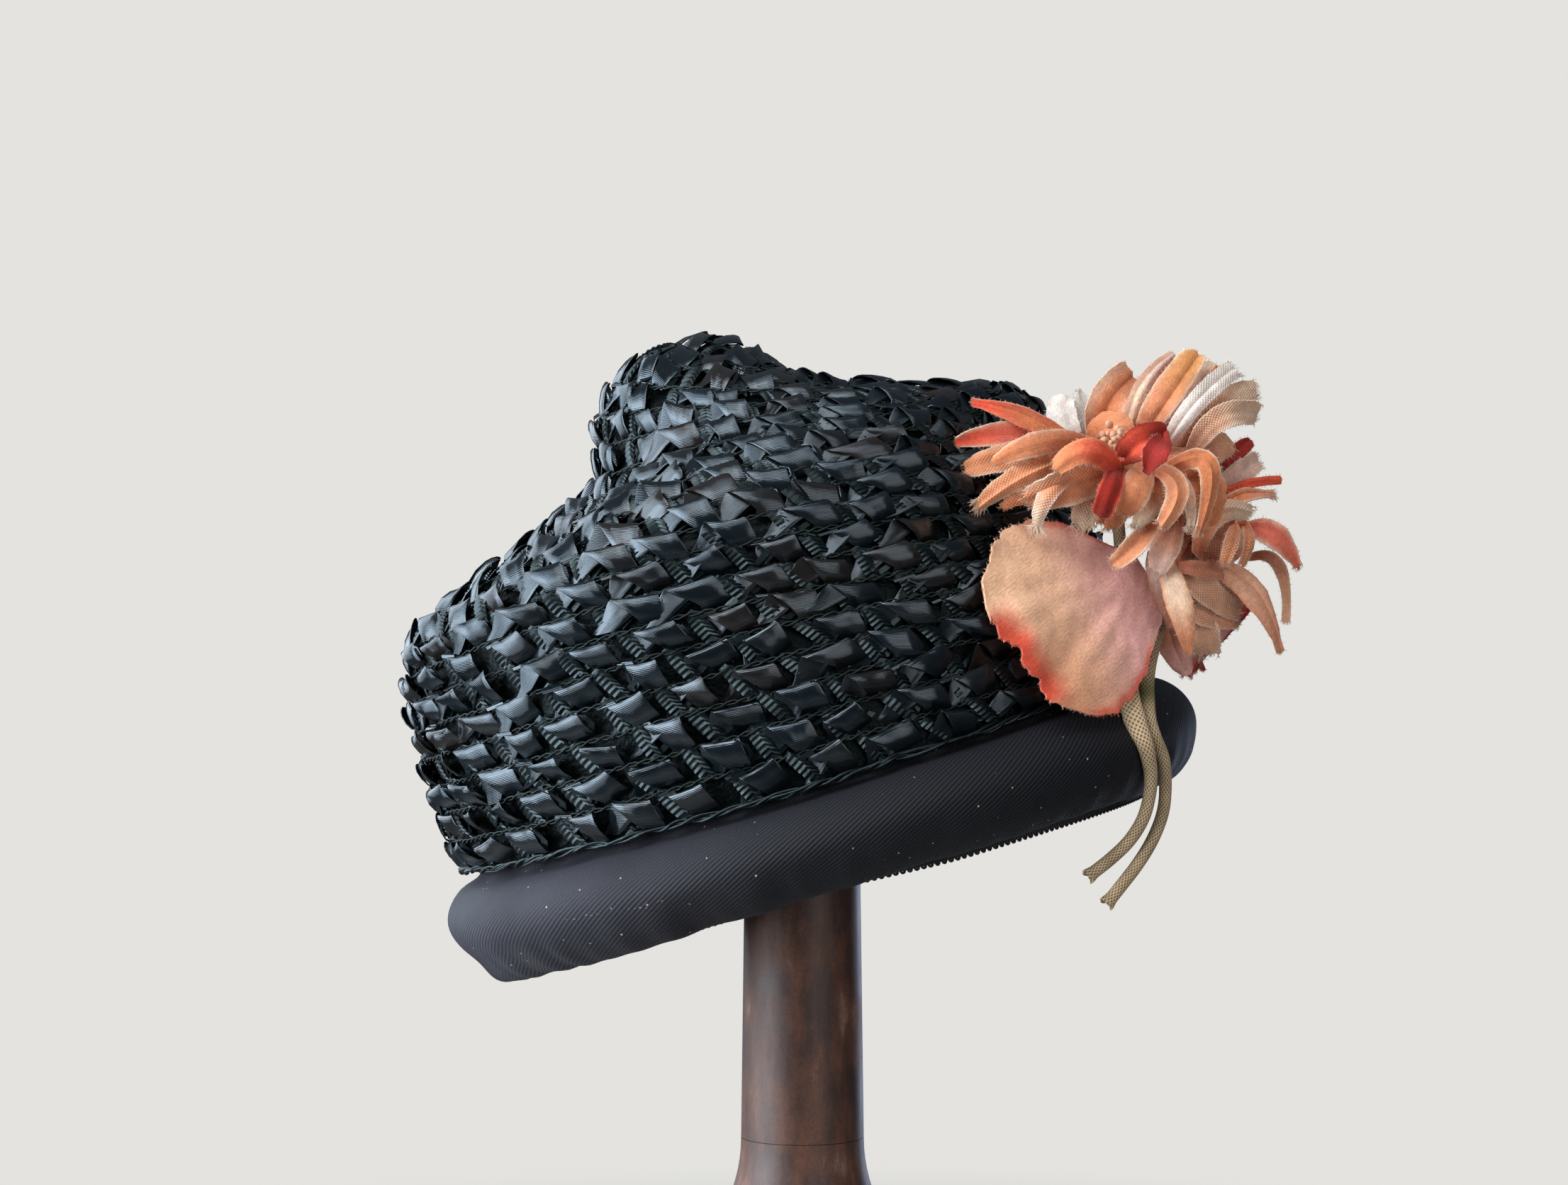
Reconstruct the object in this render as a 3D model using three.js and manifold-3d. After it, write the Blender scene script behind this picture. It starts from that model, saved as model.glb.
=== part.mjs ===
// A tall pillbox hat of looped straw braid with a padded cloth rim and a spray of velvet
// flowers, on a turned wooden stand. Millimetres, +Z up, floor at z = 0, post on the Z axis,
// -Y towards the viewer.

import * as THREE from "three";
import { mergeVertices } from "three/addons/utils/BufferGeometryUtils.js";
import Module from "manifold-3d";

const wasm = await Module();
wasm.setup();

// Shared sizes
const GAP = 0.3;
const SLIVER = 0.2;
const TURN_STEPS = 40;
const STAND_STEPS = 36;

// Stand
const FOOT_RADIUS = 67;
const FOOT_EDGE_HEIGHT = 12;
const FOOT_EDGE_ROUND = 3;
const COVE_RADIUS = 45;
const COVE_STEPS = 6;
const POST_FOOT_RADIUS = 17.3;
const POST_FOOT_Z = 61.4;
const POST_TOP_RADIUS = 15.2;
const POST_TOP_Z = 224;
const CAP_RADIUS = 40;
const CAP_TOP_Z = 268.1;
const CAP_ROUND = 22;
const CAP_UNDER_ROUND = 6;

// Hat frame: the centre of the rim, with the right side of the hat up
const RIM_X = 10.6;
const RIM_Z = 134.2;
const HAT_TILT_DEG = 17;

// Crown: outer sections at braid rows, from the lower edge up
const BRAID_ROWS = 16;
const RIB_DEPTH = 4;
const BRAID_BACKING = 2.5;
const RIB_CREST = 0.5;
const CROWN_SECTIONS = [
  { row: 0, leftX: -103, leftZ: 34, rightX: 101, rightZ: 34, sideZ: 31.9, halfWidth: 90 },
  { row: 3, leftX: -104, leftZ: 67, rightX: 99.5, rightZ: 57, sideZ: 67, halfWidth: 89.5 },
  { row: 6, leftX: -98, leftZ: 99, rightX: 97.3, rightZ: 79, sideZ: 99, halfWidth: 85 },
  { row: 7, leftX: -84, leftZ: 106.5, rightX: 96.8, rightZ: 86, sideZ: 107, halfWidth: 81 },
  { row: 8, leftX: -67, leftZ: 113, rightX: 96.2, rightZ: 93, sideZ: 113, halfWidth: 76 },
  { row: 10, leftX: -38, leftZ: 125.5, rightX: 95.3, rightZ: 106, sideZ: 122.5, halfWidth: 64.5 },
  { row: 11, leftX: -32, leftZ: 137, rightX: 93, rightZ: 113.5, sideZ: 127.5, halfWidth: 58 },
  { row: 12, leftX: -26, leftZ: 149, rightX: 88, rightZ: 119, sideZ: 132, halfWidth: 50 },
  { row: 13, leftX: -13.5, leftZ: 158, rightX: 77, rightZ: 123, sideZ: 135.5, halfWidth: 40 },
  { row: 14, leftX: 1, leftZ: 159.5, rightX: 62, rightZ: 126.5, sideZ: 138, halfWidth: 28 },
  { row: 15, leftX: 15, leftZ: 155.5, rightX: 47, rightZ: 131, sideZ: 139, halfWidth: 15 },
  { row: 16, leftX: 29, leftZ: 141.5, rightX: 29, rightZ: 141.5, sideZ: 141.5, halfWidth: 0 },
];

// Rim oval that the band and the sweatband follow
const RIM_CENTRE_X = -0.5;
const RIM_HALF_LENGTH = 101.5;
const RIM_HALF_WIDTH = 90;
const RIM_SIDE_LIFT = 3;
const RIM_LEVEL = 20;

// Band: middle of the folded cloth, out from the rim oval and up from the rim
const BAND_CLOTH = 2;
const BAND_FOLD = [
  { out: -8.7, up: 43 },
  { out: -8.6, up: 34.5 },
  { out: -5.6, up: 29.6 },
  { out: 1, up: 27 },
  { out: 5.6, up: 22 },
  { out: 7, up: 15.5 },
  { out: 4.2, up: 8 },
  { out: -1, up: 3 },
  { out: -5.6, up: 1.6 },
  { out: -8.1, up: 4.5 },
  { out: -9, up: 12 },
  { out: -9, up: 22 },
];

// Sweatband: a ribbon that hangs lowest at the right front
const SWEATBAND_OUT = -10.9;
const SWEATBAND_CLOTH = 1;
const SWEATBAND_TOP = 24;
const SWEATBAND_EDGE = -0.6;
const SWEATBAND_DROP = 2.4;
const SWEATBAND_LOWEST_DEG = -55;

// Spray: strap petals from a round core; each runs from its foot by its bend to its tip
const CORE_RADIUS = 4.5;
const PETAL_CLOTH = 1.2;
const STALK_WIDTH = 2.4;
const UPPER_CORE = [82.5, -45, 255.8];
const UPPER_PETALS = [
  { foot: [-7.6, -2, 0.6], bend: [-21.6, -8, 8.8], tip: [-36.7, -9, 9.9], width: 5.5 },
  { foot: [-11.4, -4, -1.5], bend: [-25.7, -16, 2.7], tip: [-40.9, -17, -0.4], width: 6.5 },
  { foot: [-8.6, -8, -3.8], bend: [-24.7, -19, -1.9], tip: [-39, -20, -6.3], width: 7.5 },
  { foot: [-5.7, -10, -4.2], bend: [-18, -24, -1.9], tip: [-31, -24, -6.1], width: 7.5 },
  { foot: [-5.7, -10, -6.7], bend: [-21.9, -24, -8], tip: [-34.8, -23, -17.5], width: 6.5 },
  { foot: [1.3, -12, -3.8], bend: [-18, -28, 1.9], tip: [-19.6, -24, -23.2], width: 9.5 },
  { foot: [-1, -12, -7.6], bend: [-6.7, -16, -13.3], tip: [-6.7, -14, -23.8], width: 6.5 },
  { foot: [2.9, -16, -7.6], bend: [-0.6, -24, -13.3], tip: [-1.7, -20, -20.3], width: 5.5 },
  { foot: [5.1, -12, -8], bend: [4.8, -20, -15.2], tip: [5.1, -16, -22.8], width: 8 },
  { foot: [12.7, -12, -8.6], bend: [11.4, -22, -13.3], tip: [7.8, -18, -23.8], width: 7 },
  { foot: [14.3, -10, -8.6], bend: [18, -18, -13.3], tip: [15.2, -14, -23.2], width: 7.5 },
  { foot: [12.4, -12, -6.7], bend: [31.4, -26, 6.7], tip: [23.8, -18, -23.8], width: 8.5 },
  { foot: [5.1, -14, -5.7], bend: [6.7, -22, 8.6], tip: [15.2, -16, -3.8], width: 9 },
  { foot: [-6.7, 2, 1.5], bend: [-9.5, 4, 8.6], tip: [-12.4, 8, 12.2], width: 8.5 },
  { foot: [-4.8, 4, 2.9], bend: [-6.3, 6, 8.6], tip: [-7.6, 11, 12.7], width: 5 },
  { foot: [-1.7, 2, 3.4], bend: [0, -4, 12.4], tip: [6.7, 4, 17.7], width: 10 },
  { foot: [5.1, 2, 4.8], bend: [8.9, 0, 17.1], tip: [17.1, 6, 22.8], width: 4.5 },
  { foot: [8.9, -4, 2.9], bend: [14.3, -12, 12.4], tip: [22.6, -4, 23.8], width: 11 },
  { foot: [14.3, 0, 3.8], bend: [20.3, -4, 12.4], tip: [28.7, 2, 20.3], width: 6.5 },
  { foot: [15.2, -6, 1], bend: [21.9, -12, 11], tip: [34.4, -4, 19.4], width: 7 },
  { foot: [19.6, -4, -2.3], bend: [23.8, -6, 11.4], tip: [39.5, 0, 14.3], width: 6.5 },
  { foot: [22.2, -8, -0.4], bend: [26.6, -14, 8], tip: [40.1, -8, 8], width: 7.5 },
  { foot: [23.8, 4, -6.7], bend: [28.5, 4, 1.9], tip: [32.7, 6, -2.3], width: 8 },
];
const LOWER_CORE = [107.2, -36, 232.1];
const LOWER_PETALS = [
  { foot: [1.9, 4, 14.1], bend: [6.8, 0, 19.3], tip: [14.3, 6, 24.5], width: 8 },
  { foot: [1.9, 2, 9.7], bend: [9.7, -4, 14.1], tip: [15.8, 2, 18.7], width: 8 },
  { foot: [3.9, -4, 9.1], bend: [13.5, -9, 14.9], tip: [21.6, -6, 12.4], width: 3.6 },
  { foot: [4.8, -6, 6.4], bend: [11.6, -12, 10.2], tip: [18.5, -8, 9.1], width: 5 },
  { foot: [1.4, -12, -1.4], bend: [7.7, -20, 15.4], tip: [12.2, -16, 0], width: 7 },
  { foot: [8.3, -16, 2.9], bend: [7.7, -20, -2.9], tip: [6.2, -14, -9.7], width: 5 },
  { foot: [12.2, -14, 1], bend: [12.9, -18, -3.9], tip: [11, -12, -9.7], width: 4 },
  { foot: [11.6, -8, -0.6], bend: [21.2, -14, 0], tip: [26.6, -8, -10.8], width: 7.5 },
  { foot: [13.5, -4, -5.8], bend: [25.1, -8, -6.8], tip: [22.6, 0, -26], width: 4.5 },
  { foot: [3.9, -10, -9.7], bend: [16.4, -16, -10.6], tip: [21.6, -8, -33.8], width: 7.5 },
  { foot: [-10.6, -18, -8.7], bend: [-7.7, -24, -20.3], tip: [-4.2, -18, -34], width: 9 },
  { foot: [-11.6, -6, -12.5], bend: [-9.7, -8, -28], tip: [-2.9, -2, -38.6], width: 8 },
  { foot: [-7.7, -16, 1.4], bend: [-9.7, -24, -3.9], tip: [-9.7, -20, -11], width: 9 },
  { foot: [-14.1, -16, 0.6], bend: [-17.4, -22, -3.9], tip: [-23.7, -22, -10.2], width: 6 },
  { foot: [-2.9, -2, -11.6], bend: [3.9, -8, -13.5], tip: [8.9, -4, -23.2], width: 8 },
  { foot: [-4.4, 0, -19.3], bend: [1.9, -6, -21.8], tip: [8.9, -4, -26], width: 6 },
  { foot: [-2.9, -2, -22.2], bend: [-1, -6, -27], tip: [-0.6, -2, -33.4], width: 9 },
  { foot: [-4.8, -8, -4.8], bend: [2.9, -12, -6.8], tip: [8.7, -6, -10.2], width: 7 },
];

// Leaves: half widths along a broad fan, as shares of the length and of the widest half
const LEAF_CLOTH = 1.2;
const LEAF_ACROSS = 4;
const LEAF_OUTLINE = [
  { along: 0, half: 0.08 },
  { along: 0.1, half: 0.42 },
  { along: 0.24, half: 0.7 },
  { along: 0.4, half: 0.9 },
  { along: 0.6, half: 1 },
  { along: 0.8, half: 0.9 },
  { along: 0.93, half: 0.66 },
  { along: 1, half: 0.34 },
];
const FRONT_LEAF = {
  base: [90.2, -47.6, 221.6],
  reach: [-31.6, -28.7, -24.6],
  half: [-17.2, -2.7, 22.1],
  cup: -2.5,
};
const BACK_LEAF = {
  base: [99.2, -35.4, 221.5],
  reach: [11, 3, -28],
  half: [-16.5, -2, -6.5],
  cup: 2,
};

// Stems of cloth-wrapped wire, from under each core to the cut end
const STEM_RADIUS = 1.6;
const STEM_SIDES = 8;
const STEM_STEPS = 22;
const UPPER_STEM = [
  [82.7, -45, 250.9],
  [84.8, -44.5, 234.8],
  [86, -45.5, 217.6],
  [86.4, -51.6, 200.5],
  [86.7, -57, 187.4],
  [88.1, -60.3, 179.9],
  [90.8, -60.2, 173.3],
  [92.4, -56.5, 166.2],
  [92.1, -55.5, 160.1],
  [90.4, -55, 154],
  [86.8, -55, 148.3],
  [81.6, -56.5, 143.5],
  [75.6, -58, 139],
];
const LOWER_STEM = [
  [104.9, -36.5, 227.8],
  [99.5, -38, 215.8],
  [95, -44, 202.3],
  [92.1, -50, 190.9],
  [91.9, -55, 182.2],
  [93.5, -56.5, 176.2],
  [96.1, -53.5, 170],
  [96.9, -51, 162.7],
  [96.3, -50, 155.6],
  [93.5, -51, 148.5],
  [89.3, -53, 142],
  [83.9, -56, 135.6],
  [80.6, -57, 131.7],
];

const degrees = THREE.MathUtils.degToRad;
const at = (x, y, z) => new THREE.Vector3(x, y, z);

/** One named column of a section table, smooth between its rows. */
function sampled(table, column, row) {
  const last = table.length - 1;
  let i = 0;
  while (i < last - 1 && table[i + 1].row <= row) i += 1;
  const slope = (j) => {
    const before = table[Math.max(j - 1, 0)];
    const after = table[Math.min(j + 1, last)];
    return (after[column] - before[column]) / (after.row - before.row);
  };
  const from = table[i];
  const to = table[i + 1];
  const span = to.row - from.row;
  const t = (row - from.row) / span;
  const rise = to[column] - from[column];
  const ease = t * t * (3 - 2 * t);
  const lead = t * (1 - t) * (1 - t) * slope(i);
  const trail = t * t * (t - 1) * slope(i + 1);
  return from[column] + rise * ease + span * (lead + trail);
}

/** A closed surface from rings of points; the ends meet each other, or close on two poles. */
function skinned(rings, poles = null) {
  const count = rings[0].length;
  const points = rings.flat();
  const index = [];
  const strips = poles ? rings.length - 1 : rings.length;
  for (let r = 0; r < strips; r += 1) {
    const low = r * count;
    const high = ((r + 1) % rings.length) * count;
    for (let i = 0; i < count; i += 1) {
      const j = (i + 1) % count;
      index.push(low + i, low + j, high + j, low + i, high + j, high + i);
    }
  }
  if (poles) {
    const first = points.push(poles[0]) - 1;
    const second = points.push(poles[1]) - 1;
    const top = (rings.length - 1) * count;
    for (let i = 0; i < count; i += 1) {
      const j = (i + 1) % count;
      index.push(first, j, i, second, top + i, top + j);
    }
  }
  return facingOut(points, index);
}

/** An indexed geometry whose faces point out of the volume. */
function facingOut(points, index) {
  let volume = 0;
  for (let i = 0; i < index.length; i += 3) {
    const [a, b, c] = [points[index[i]], points[index[i + 1]], points[index[i + 2]]];
    volume += a.dot(b.clone().cross(c));
  }
  const faces = volume < 0 ? index.slice().reverse() : index;
  const geometry = new THREE.BufferGeometry().setFromPoints(points);
  geometry.setIndex(faces);
  geometry.computeVertexNormals();
  return geometry;
}

/** A named mesh with its own material. */
function piece(name, geometry, color, roughness) {
  const material = new THREE.MeshStandardMaterial({ color, roughness });
  const mesh = new THREE.Mesh(geometry, material);
  mesh.name = name;
  return mesh;
}

/** A turned solid about the Z axis from a profile of radius and height. */
function turned(profile) {
  const points = profile.map(([radius, z]) => new THREE.Vector2(radius, z));
  return new THREE.LatheGeometry(points, STAND_STEPS).rotateX(Math.PI / 2);
}

/** Points of a quarter round in a profile, both ends included. */
function quarter(centreRadius, centreZ, radius, fromDeg, toDeg, steps) {
  const points = [];
  for (let i = 0; i <= steps; i += 1) {
    const angle = degrees(fromDeg + ((toDeg - fromDeg) * i) / steps);
    points.push([centreRadius + radius * Math.cos(angle), centreZ + radius * Math.sin(angle)]);
  }
  return points;
}

function standFoot() {
  const coveX = POST_FOOT_RADIUS + COVE_RADIUS;
  const edge = FOOT_RADIUS - FOOT_EDGE_ROUND;
  const edgeZ = FOOT_EDGE_HEIGHT - FOOT_EDGE_ROUND;
  return turned([
    [0, 0],
    [FOOT_RADIUS - 1, 0],
    [FOOT_RADIUS, 1],
    ...quarter(edge, edgeZ, FOOT_EDGE_ROUND, 0, 90, 3),
    ...quarter(coveX, POST_FOOT_Z, COVE_RADIUS, 270, 180, COVE_STEPS),
    [0, POST_FOOT_Z],
  ]);
}

function standPost() {
  return turned([
    [0, POST_FOOT_Z + GAP],
    [POST_FOOT_RADIUS, POST_FOOT_Z + GAP],
    [POST_TOP_RADIUS, POST_TOP_Z - GAP],
    [0, POST_TOP_Z - GAP],
  ]);
}

function standCap() {
  const underZ = POST_TOP_Z + CAP_UNDER_ROUND;
  return turned([
    [0, POST_TOP_Z],
    ...quarter(CAP_RADIUS - CAP_UNDER_ROUND, underZ, CAP_UNDER_ROUND, 270, 360, 3),
    ...quarter(CAP_RADIUS - CAP_ROUND, CAP_TOP_Z - CAP_ROUND, CAP_ROUND, 0, 90, 5),
    [0, CAP_TOP_Z],
  ]);
}

/** A point of the crown's outer shape, in braid rows up and turns round from the right end. */
function crownShape(row, turn) {
  const column = (name) => sampled(CROWN_SECTIONS, name, row);
  const [leftX, rightX] = [column("leftX"), column("rightX")];
  const [leftZ, rightZ] = [column("leftZ"), column("rightZ")];
  const middleZ = (leftZ + rightZ) / 2;
  const [along, across] = [Math.cos(turn), Math.sin(turn)];
  const x = (leftX + rightX) / 2 + ((rightX - leftX) / 2) * along;
  const lift = (column("sideZ") - middleZ) * across * across;
  return at(x, column("halfWidth") * across, middleZ + ((rightZ - leftZ) / 2) * along + lift);
}

/** The crown's shape moved in from its outer surface. */
function crownPoint(row, turn, inset) {
  const step = 0.02;
  const low = Math.min(row, BRAID_ROWS - 0.3);
  const up = crownShape(low + step, turn).sub(crownShape(Math.max(low - step, 0), turn));
  const round = crownShape(low, turn + step).sub(crownShape(low, turn - step));
  return crownShape(row, turn).addScaledVector(round.cross(up).normalize(), -inset);
}

function ringAt(row, inset) {
  const ring = [];
  for (let i = 0; i < TURN_STEPS; i += 1) {
    ring.push(crownPoint(row, (2 * Math.PI * i) / TURN_STEPS, inset));
  }
  return ring;
}

function crown() {
  const inner = RIB_DEPTH + BRAID_BACKING;
  const outside = [];
  for (let row = 0; row < BRAID_ROWS; row += 1) {
    outside.push(ringAt(row, RIB_DEPTH), ringAt(row + RIB_CREST, 0));
  }
  const inside = [];
  for (let row = 0; row < BRAID_ROWS - 1; row += 2) inside.push(ringAt(row, inner));
  const tip = crownShape(BRAID_ROWS, 0);
  const rings = [...outside.reverse(), ...inside];
  return skinned(rings, [tip, tip.clone().add(at(0, 0, -inner))]);
}

/** A point out from the rim oval; the rim's lower edge lifts towards the hat's sides. */
function rimPoint(turn, out, up) {
  const [along, across] = [Math.cos(turn), Math.sin(turn)];
  const lift = RIM_SIDE_LIFT * across * across * (1 - up / RIM_LEVEL);
  const x = RIM_CENTRE_X + (RIM_HALF_LENGTH + out) * along;
  return at(x, (RIM_HALF_WIDTH + out) * across, up + lift);
}

/** A strip of cloth round the rim from the middle line of its section. */
function rimCloth(sectionAt, cloth) {
  const rings = [];
  for (let i = 0; i < TURN_STEPS; i += 1) {
    const turn = (2 * Math.PI * i) / TURN_STEPS;
    const section = sectionAt(turn);
    const sides = [1, -1].map((side) =>
      section.map((point, n) => {
        const before = section[Math.max(n - 1, 0)];
        const after = section[Math.min(n + 1, section.length - 1)];
        const run = Math.hypot(after.out - before.out, after.up - before.up);
        const shift = (side * cloth) / 2 / run;
        const out = point.out - (after.up - before.up) * shift;
        return rimPoint(turn, out, point.up + (after.out - before.out) * shift);
      }),
    );
    rings.push([...sides[0], ...sides[1].reverse()]);
  }
  return skinned(rings);
}

function sweatbandSection(turn) {
  const drop = SWEATBAND_DROP * Math.cos(turn - degrees(SWEATBAND_LOWEST_DEG));
  return [
    { out: SWEATBAND_OUT, up: SWEATBAND_TOP },
    { out: SWEATBAND_OUT, up: SWEATBAND_EDGE - drop },
  ];
}

/** A manifold solid from a closed geometry. */
function solidFrom(geometry) {
  const bare = geometry.clone();
  bare.deleteAttribute("normal");
  bare.deleteAttribute("uv");
  const merged = mergeVertices(bare, 1e-4);
  return new wasm.Manifold(
    new wasm.Mesh({
      numProp: 3,
      vertProperties: new Float32Array(merged.attributes.position.array),
      triVerts: new Uint32Array(merged.index.array),
    }),
  );
}

/** The largest body of a manifold solid as a geometry. */
function geometryFrom(solid) {
  const bodies = solid.simplify(SLIVER).decompose().sort((a, b) => b.volume() - a.volume());
  const mesh = bodies[0].getMesh();
  const geometry = new THREE.BufferGeometry();
  const position = new Float32Array(mesh.vertProperties);
  geometry.setAttribute("position", new THREE.BufferAttribute(position, mesh.numProp));
  geometry.setIndex(new THREE.BufferAttribute(new Uint32Array(mesh.triVerts), 1));
  geometry.computeVertexNormals();
  return geometry;
}

/** A strap petal with its stalk to the core, grown on every side by an allowance. */
function petal(core, row, grow) {
  const [foot, bend, tip] = [row.foot, row.bend, row.tip].map((v) => at(...v).add(core));
  const curve = new THREE.QuadraticBezierCurve3(foot, bend, tip);
  const stations = [{ point: core, share: 0 }];
  for (const [t, share] of [[0, 0.45], [0.3, 0.9], [0.6, 1], [0.85, 0.85], [1, 0.35]]) {
    stations.push({ point: curve.getPoint(t), share });
  }
  const thick = PETAL_CLOTH / 2 + grow;
  const rings = stations.map(({ point, share }, i) => {
    const before = stations[Math.max(i - 1, 0)].point;
    const after = stations[Math.min(i + 1, stations.length - 1)].point;
    const run = after.clone().sub(before).normalize();
    const side = run.clone().cross(at(0, -1, 0)).normalize();
    const face = side.clone().cross(run);
    const half = Math.max(row.width * share, STALK_WIDTH) / 2 + grow;
    return [[1, 1], [1, -1], [-1, -1], [-1, 1]].map(([s, f]) =>
      point.clone().addScaledVector(side, s * half).addScaledVector(face, f * thick),
    );
  });
  const ends = [rings[0], rings.at(-1)].map((ring) => ring[0].clone().lerp(ring[2], 0.5));
  return skinned(rings, ends);
}

/** A flower's petals and core in one solid, grown by an allowance. */
function flower(centre, petals, grow = 0) {
  const core = at(...centre);
  const ball = new THREE.SphereGeometry(CORE_RADIUS + grow, 10, 6).rotateX(Math.PI / 2);
  const solids = petals.map((row) => solidFrom(petal(core, row, grow)));
  const whole = wasm.Manifold.union(solids);
  return whole.add(solidFrom(ball.translate(core.x, core.y, core.z)));
}

/** A closed plate of even thickness about a grid of points. */
function plate(grid, cloth) {
  const [rows, columns] = [grid.length, grid[0].length];
  const faces = [1, -1].map((side) =>
    grid.flatMap((line, i) =>
      line.map((point, j) => {
        const up = grid[Math.min(i + 1, rows - 1)][j].clone().sub(grid[Math.max(i - 1, 0)][j]);
        const over = line[Math.min(j + 1, columns - 1)].clone().sub(line[Math.max(j - 1, 0)]);
        return point.clone().addScaledVector(up.cross(over).normalize(), (side * cloth) / 2);
      }),
    ),
  );
  const back = rows * columns;
  const index = [];
  const quad = (a, b, c, d) => index.push(a, b, c, a, c, d);
  for (let i = 0; i < rows - 1; i += 1) {
    for (let j = 0; j < columns - 1; j += 1) {
      const [a, b] = [i * columns + j, (i + 1) * columns + j];
      quad(a, b, b + 1, a + 1);
      quad(back + a, back + a + 1, back + b + 1, back + b);
    }
  }
  const edge = [];
  for (let j = 0; j < columns - 1; j += 1) edge.push(j);
  for (let i = 0; i < rows - 1; i += 1) edge.push(i * columns + columns - 1);
  for (let j = columns - 1; j > 0; j -= 1) edge.push((rows - 1) * columns + j);
  for (let i = rows - 1; i > 0; i -= 1) edge.push(i * columns);
  edge.forEach((a, n) => {
    const b = edge[(n + 1) % edge.length];
    quad(a, b, back + b, back + a);
  });
  return facingOut(faces.flat(), index);
}

/** A broad leaf cupped about its middle line. */
function leaf({ base, reach, half, cup }, cloth = LEAF_CLOTH) {
  const [root, length, width] = [base, reach, half].map((v) => at(...v));
  const face = length.clone().cross(width).normalize();
  const grid = LEAF_OUTLINE.map((row) => {
    const line = [];
    for (let j = 0; j <= LEAF_ACROSS; j += 1) {
      const across = (2 * j) / LEAF_ACROSS - 1;
      const bow = cup * (0.5 - across * across * row.half);
      const point = root.clone().addScaledVector(length, row.along);
      point.addScaledVector(width, across * row.half).addScaledVector(face, bow);
      line.push(point);
    }
    return line;
  });
  return plate(grid, cloth);
}

/** A round stem along a smooth path, cut square at both ends and led on at its start. */
function stem(path, radius = STEM_RADIUS, lead = 0) {
  const outline = new THREE.Shape();
  for (let i = 0; i < STEM_SIDES; i += 1) {
    const angle = (2 * Math.PI * i) / STEM_SIDES;
    const [x, y] = [radius * Math.cos(angle), radius * Math.sin(angle)];
    if (i === 0) outline.moveTo(x, y);
    else outline.lineTo(x, y);
  }
  const points = path.map((v) => at(...v));
  points[0].addScaledVector(points[0].clone().sub(points[1]).normalize(), lead);
  const extrudePath = new THREE.CatmullRomCurve3(points);
  return new THREE.ExtrudeGeometry(outline, { steps: STEM_STEPS, extrudePath });
}

/** A solid cut back to leave a gap round its neighbours. */
function clearOf(solid, neighbours) {
  return neighbours.reduce((rest, other) => rest.subtract(other), solid);
}

const stand = new THREE.Group();
stand.add(piece("stand_foot", standFoot(), 0x2b1d16, 0.45));
stand.add(piece("stand_post", standPost(), 0x2b1d16, 0.4));
stand.add(piece("stand_cap", standCap(), 0x3a2a20, 0.6));

const hat = new THREE.Group();
hat.position.set(RIM_X, 0, RIM_Z);
hat.rotation.y = -degrees(HAT_TILT_DEG);
hat.add(piece("crown", crown(), 0x141416, 0.3));
hat.add(piece("band", rimCloth(() => BAND_FOLD, BAND_CLOTH), 0x1d1820, 0.7));
hat.add(piece("sweatband", rimCloth(sweatbandSection, SWEATBAND_CLOTH), 0x121214, 0.6));

const spray = new THREE.Group();
const wider = STEM_RADIUS + GAP;
const neighbours = [stem(UPPER_STEM, wider, GAP), stem(LOWER_STEM, wider, GAP)];
neighbours.push(leaf(FRONT_LEAF, LEAF_CLOTH + 2 * GAP), leaf(BACK_LEAF, LEAF_CLOTH + 2 * GAP));
const firm = neighbours.map(solidFrom);
const upper = clearOf(flower(UPPER_CORE, UPPER_PETALS), firm);
const swollen = flower(UPPER_CORE, UPPER_PETALS, GAP);
const lower = clearOf(flower(LOWER_CORE, LOWER_PETALS), [...firm, swollen]);
spray.add(piece("upper_flower", geometryFrom(upper), 0xe09a6a, 0.9));
spray.add(piece("lower_flower", geometryFrom(lower), 0xd88f66, 0.9));
spray.add(piece("leaf_front", leaf(FRONT_LEAF), 0xe0a885, 0.95));
spray.add(piece("leaf_back", leaf(BACK_LEAF), 0xb5525a, 0.95));
spray.add(piece("stem_upper", stem(UPPER_STEM), 0x8a7050, 0.9));
spray.add(piece("stem_lower", stem(LOWER_STEM), 0x8a7050, 0.9));

const group = new THREE.Group();
group.add(stand, hat, spray);

export default group;
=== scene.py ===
"""A pillbox hat of looped straw braid with a velvet flower spray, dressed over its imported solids.

Sizes are in millimetres in the part's own frame and become metres when a mesh is made.
"""

import logging
import math
from dataclasses import dataclass, field
from enum import Enum
from typing import Any, Optional, Sequence

import bpy
import numpy as np
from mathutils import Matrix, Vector, noise


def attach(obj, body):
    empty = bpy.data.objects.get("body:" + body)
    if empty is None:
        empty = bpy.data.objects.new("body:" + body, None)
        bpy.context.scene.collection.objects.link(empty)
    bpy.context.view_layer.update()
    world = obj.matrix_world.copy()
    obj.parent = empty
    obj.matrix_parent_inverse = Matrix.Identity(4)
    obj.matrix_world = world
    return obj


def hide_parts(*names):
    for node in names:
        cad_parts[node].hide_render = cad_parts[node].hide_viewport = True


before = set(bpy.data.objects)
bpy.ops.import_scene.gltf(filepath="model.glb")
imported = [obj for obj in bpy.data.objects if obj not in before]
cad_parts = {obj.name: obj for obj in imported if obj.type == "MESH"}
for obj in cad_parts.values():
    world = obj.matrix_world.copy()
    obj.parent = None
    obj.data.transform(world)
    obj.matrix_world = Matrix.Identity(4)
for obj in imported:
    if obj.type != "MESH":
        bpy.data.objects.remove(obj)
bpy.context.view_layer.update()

MM = 0.001
EYE = (-5.2, -1000.0, 209.56)
PIXEL = 0.2
PIXEL_OF_ORIGIN = (1132, 1910)
LOG = logging.getLogger("hat")
Array = np.ndarray
Faces = list[tuple[int, ...]]
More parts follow.
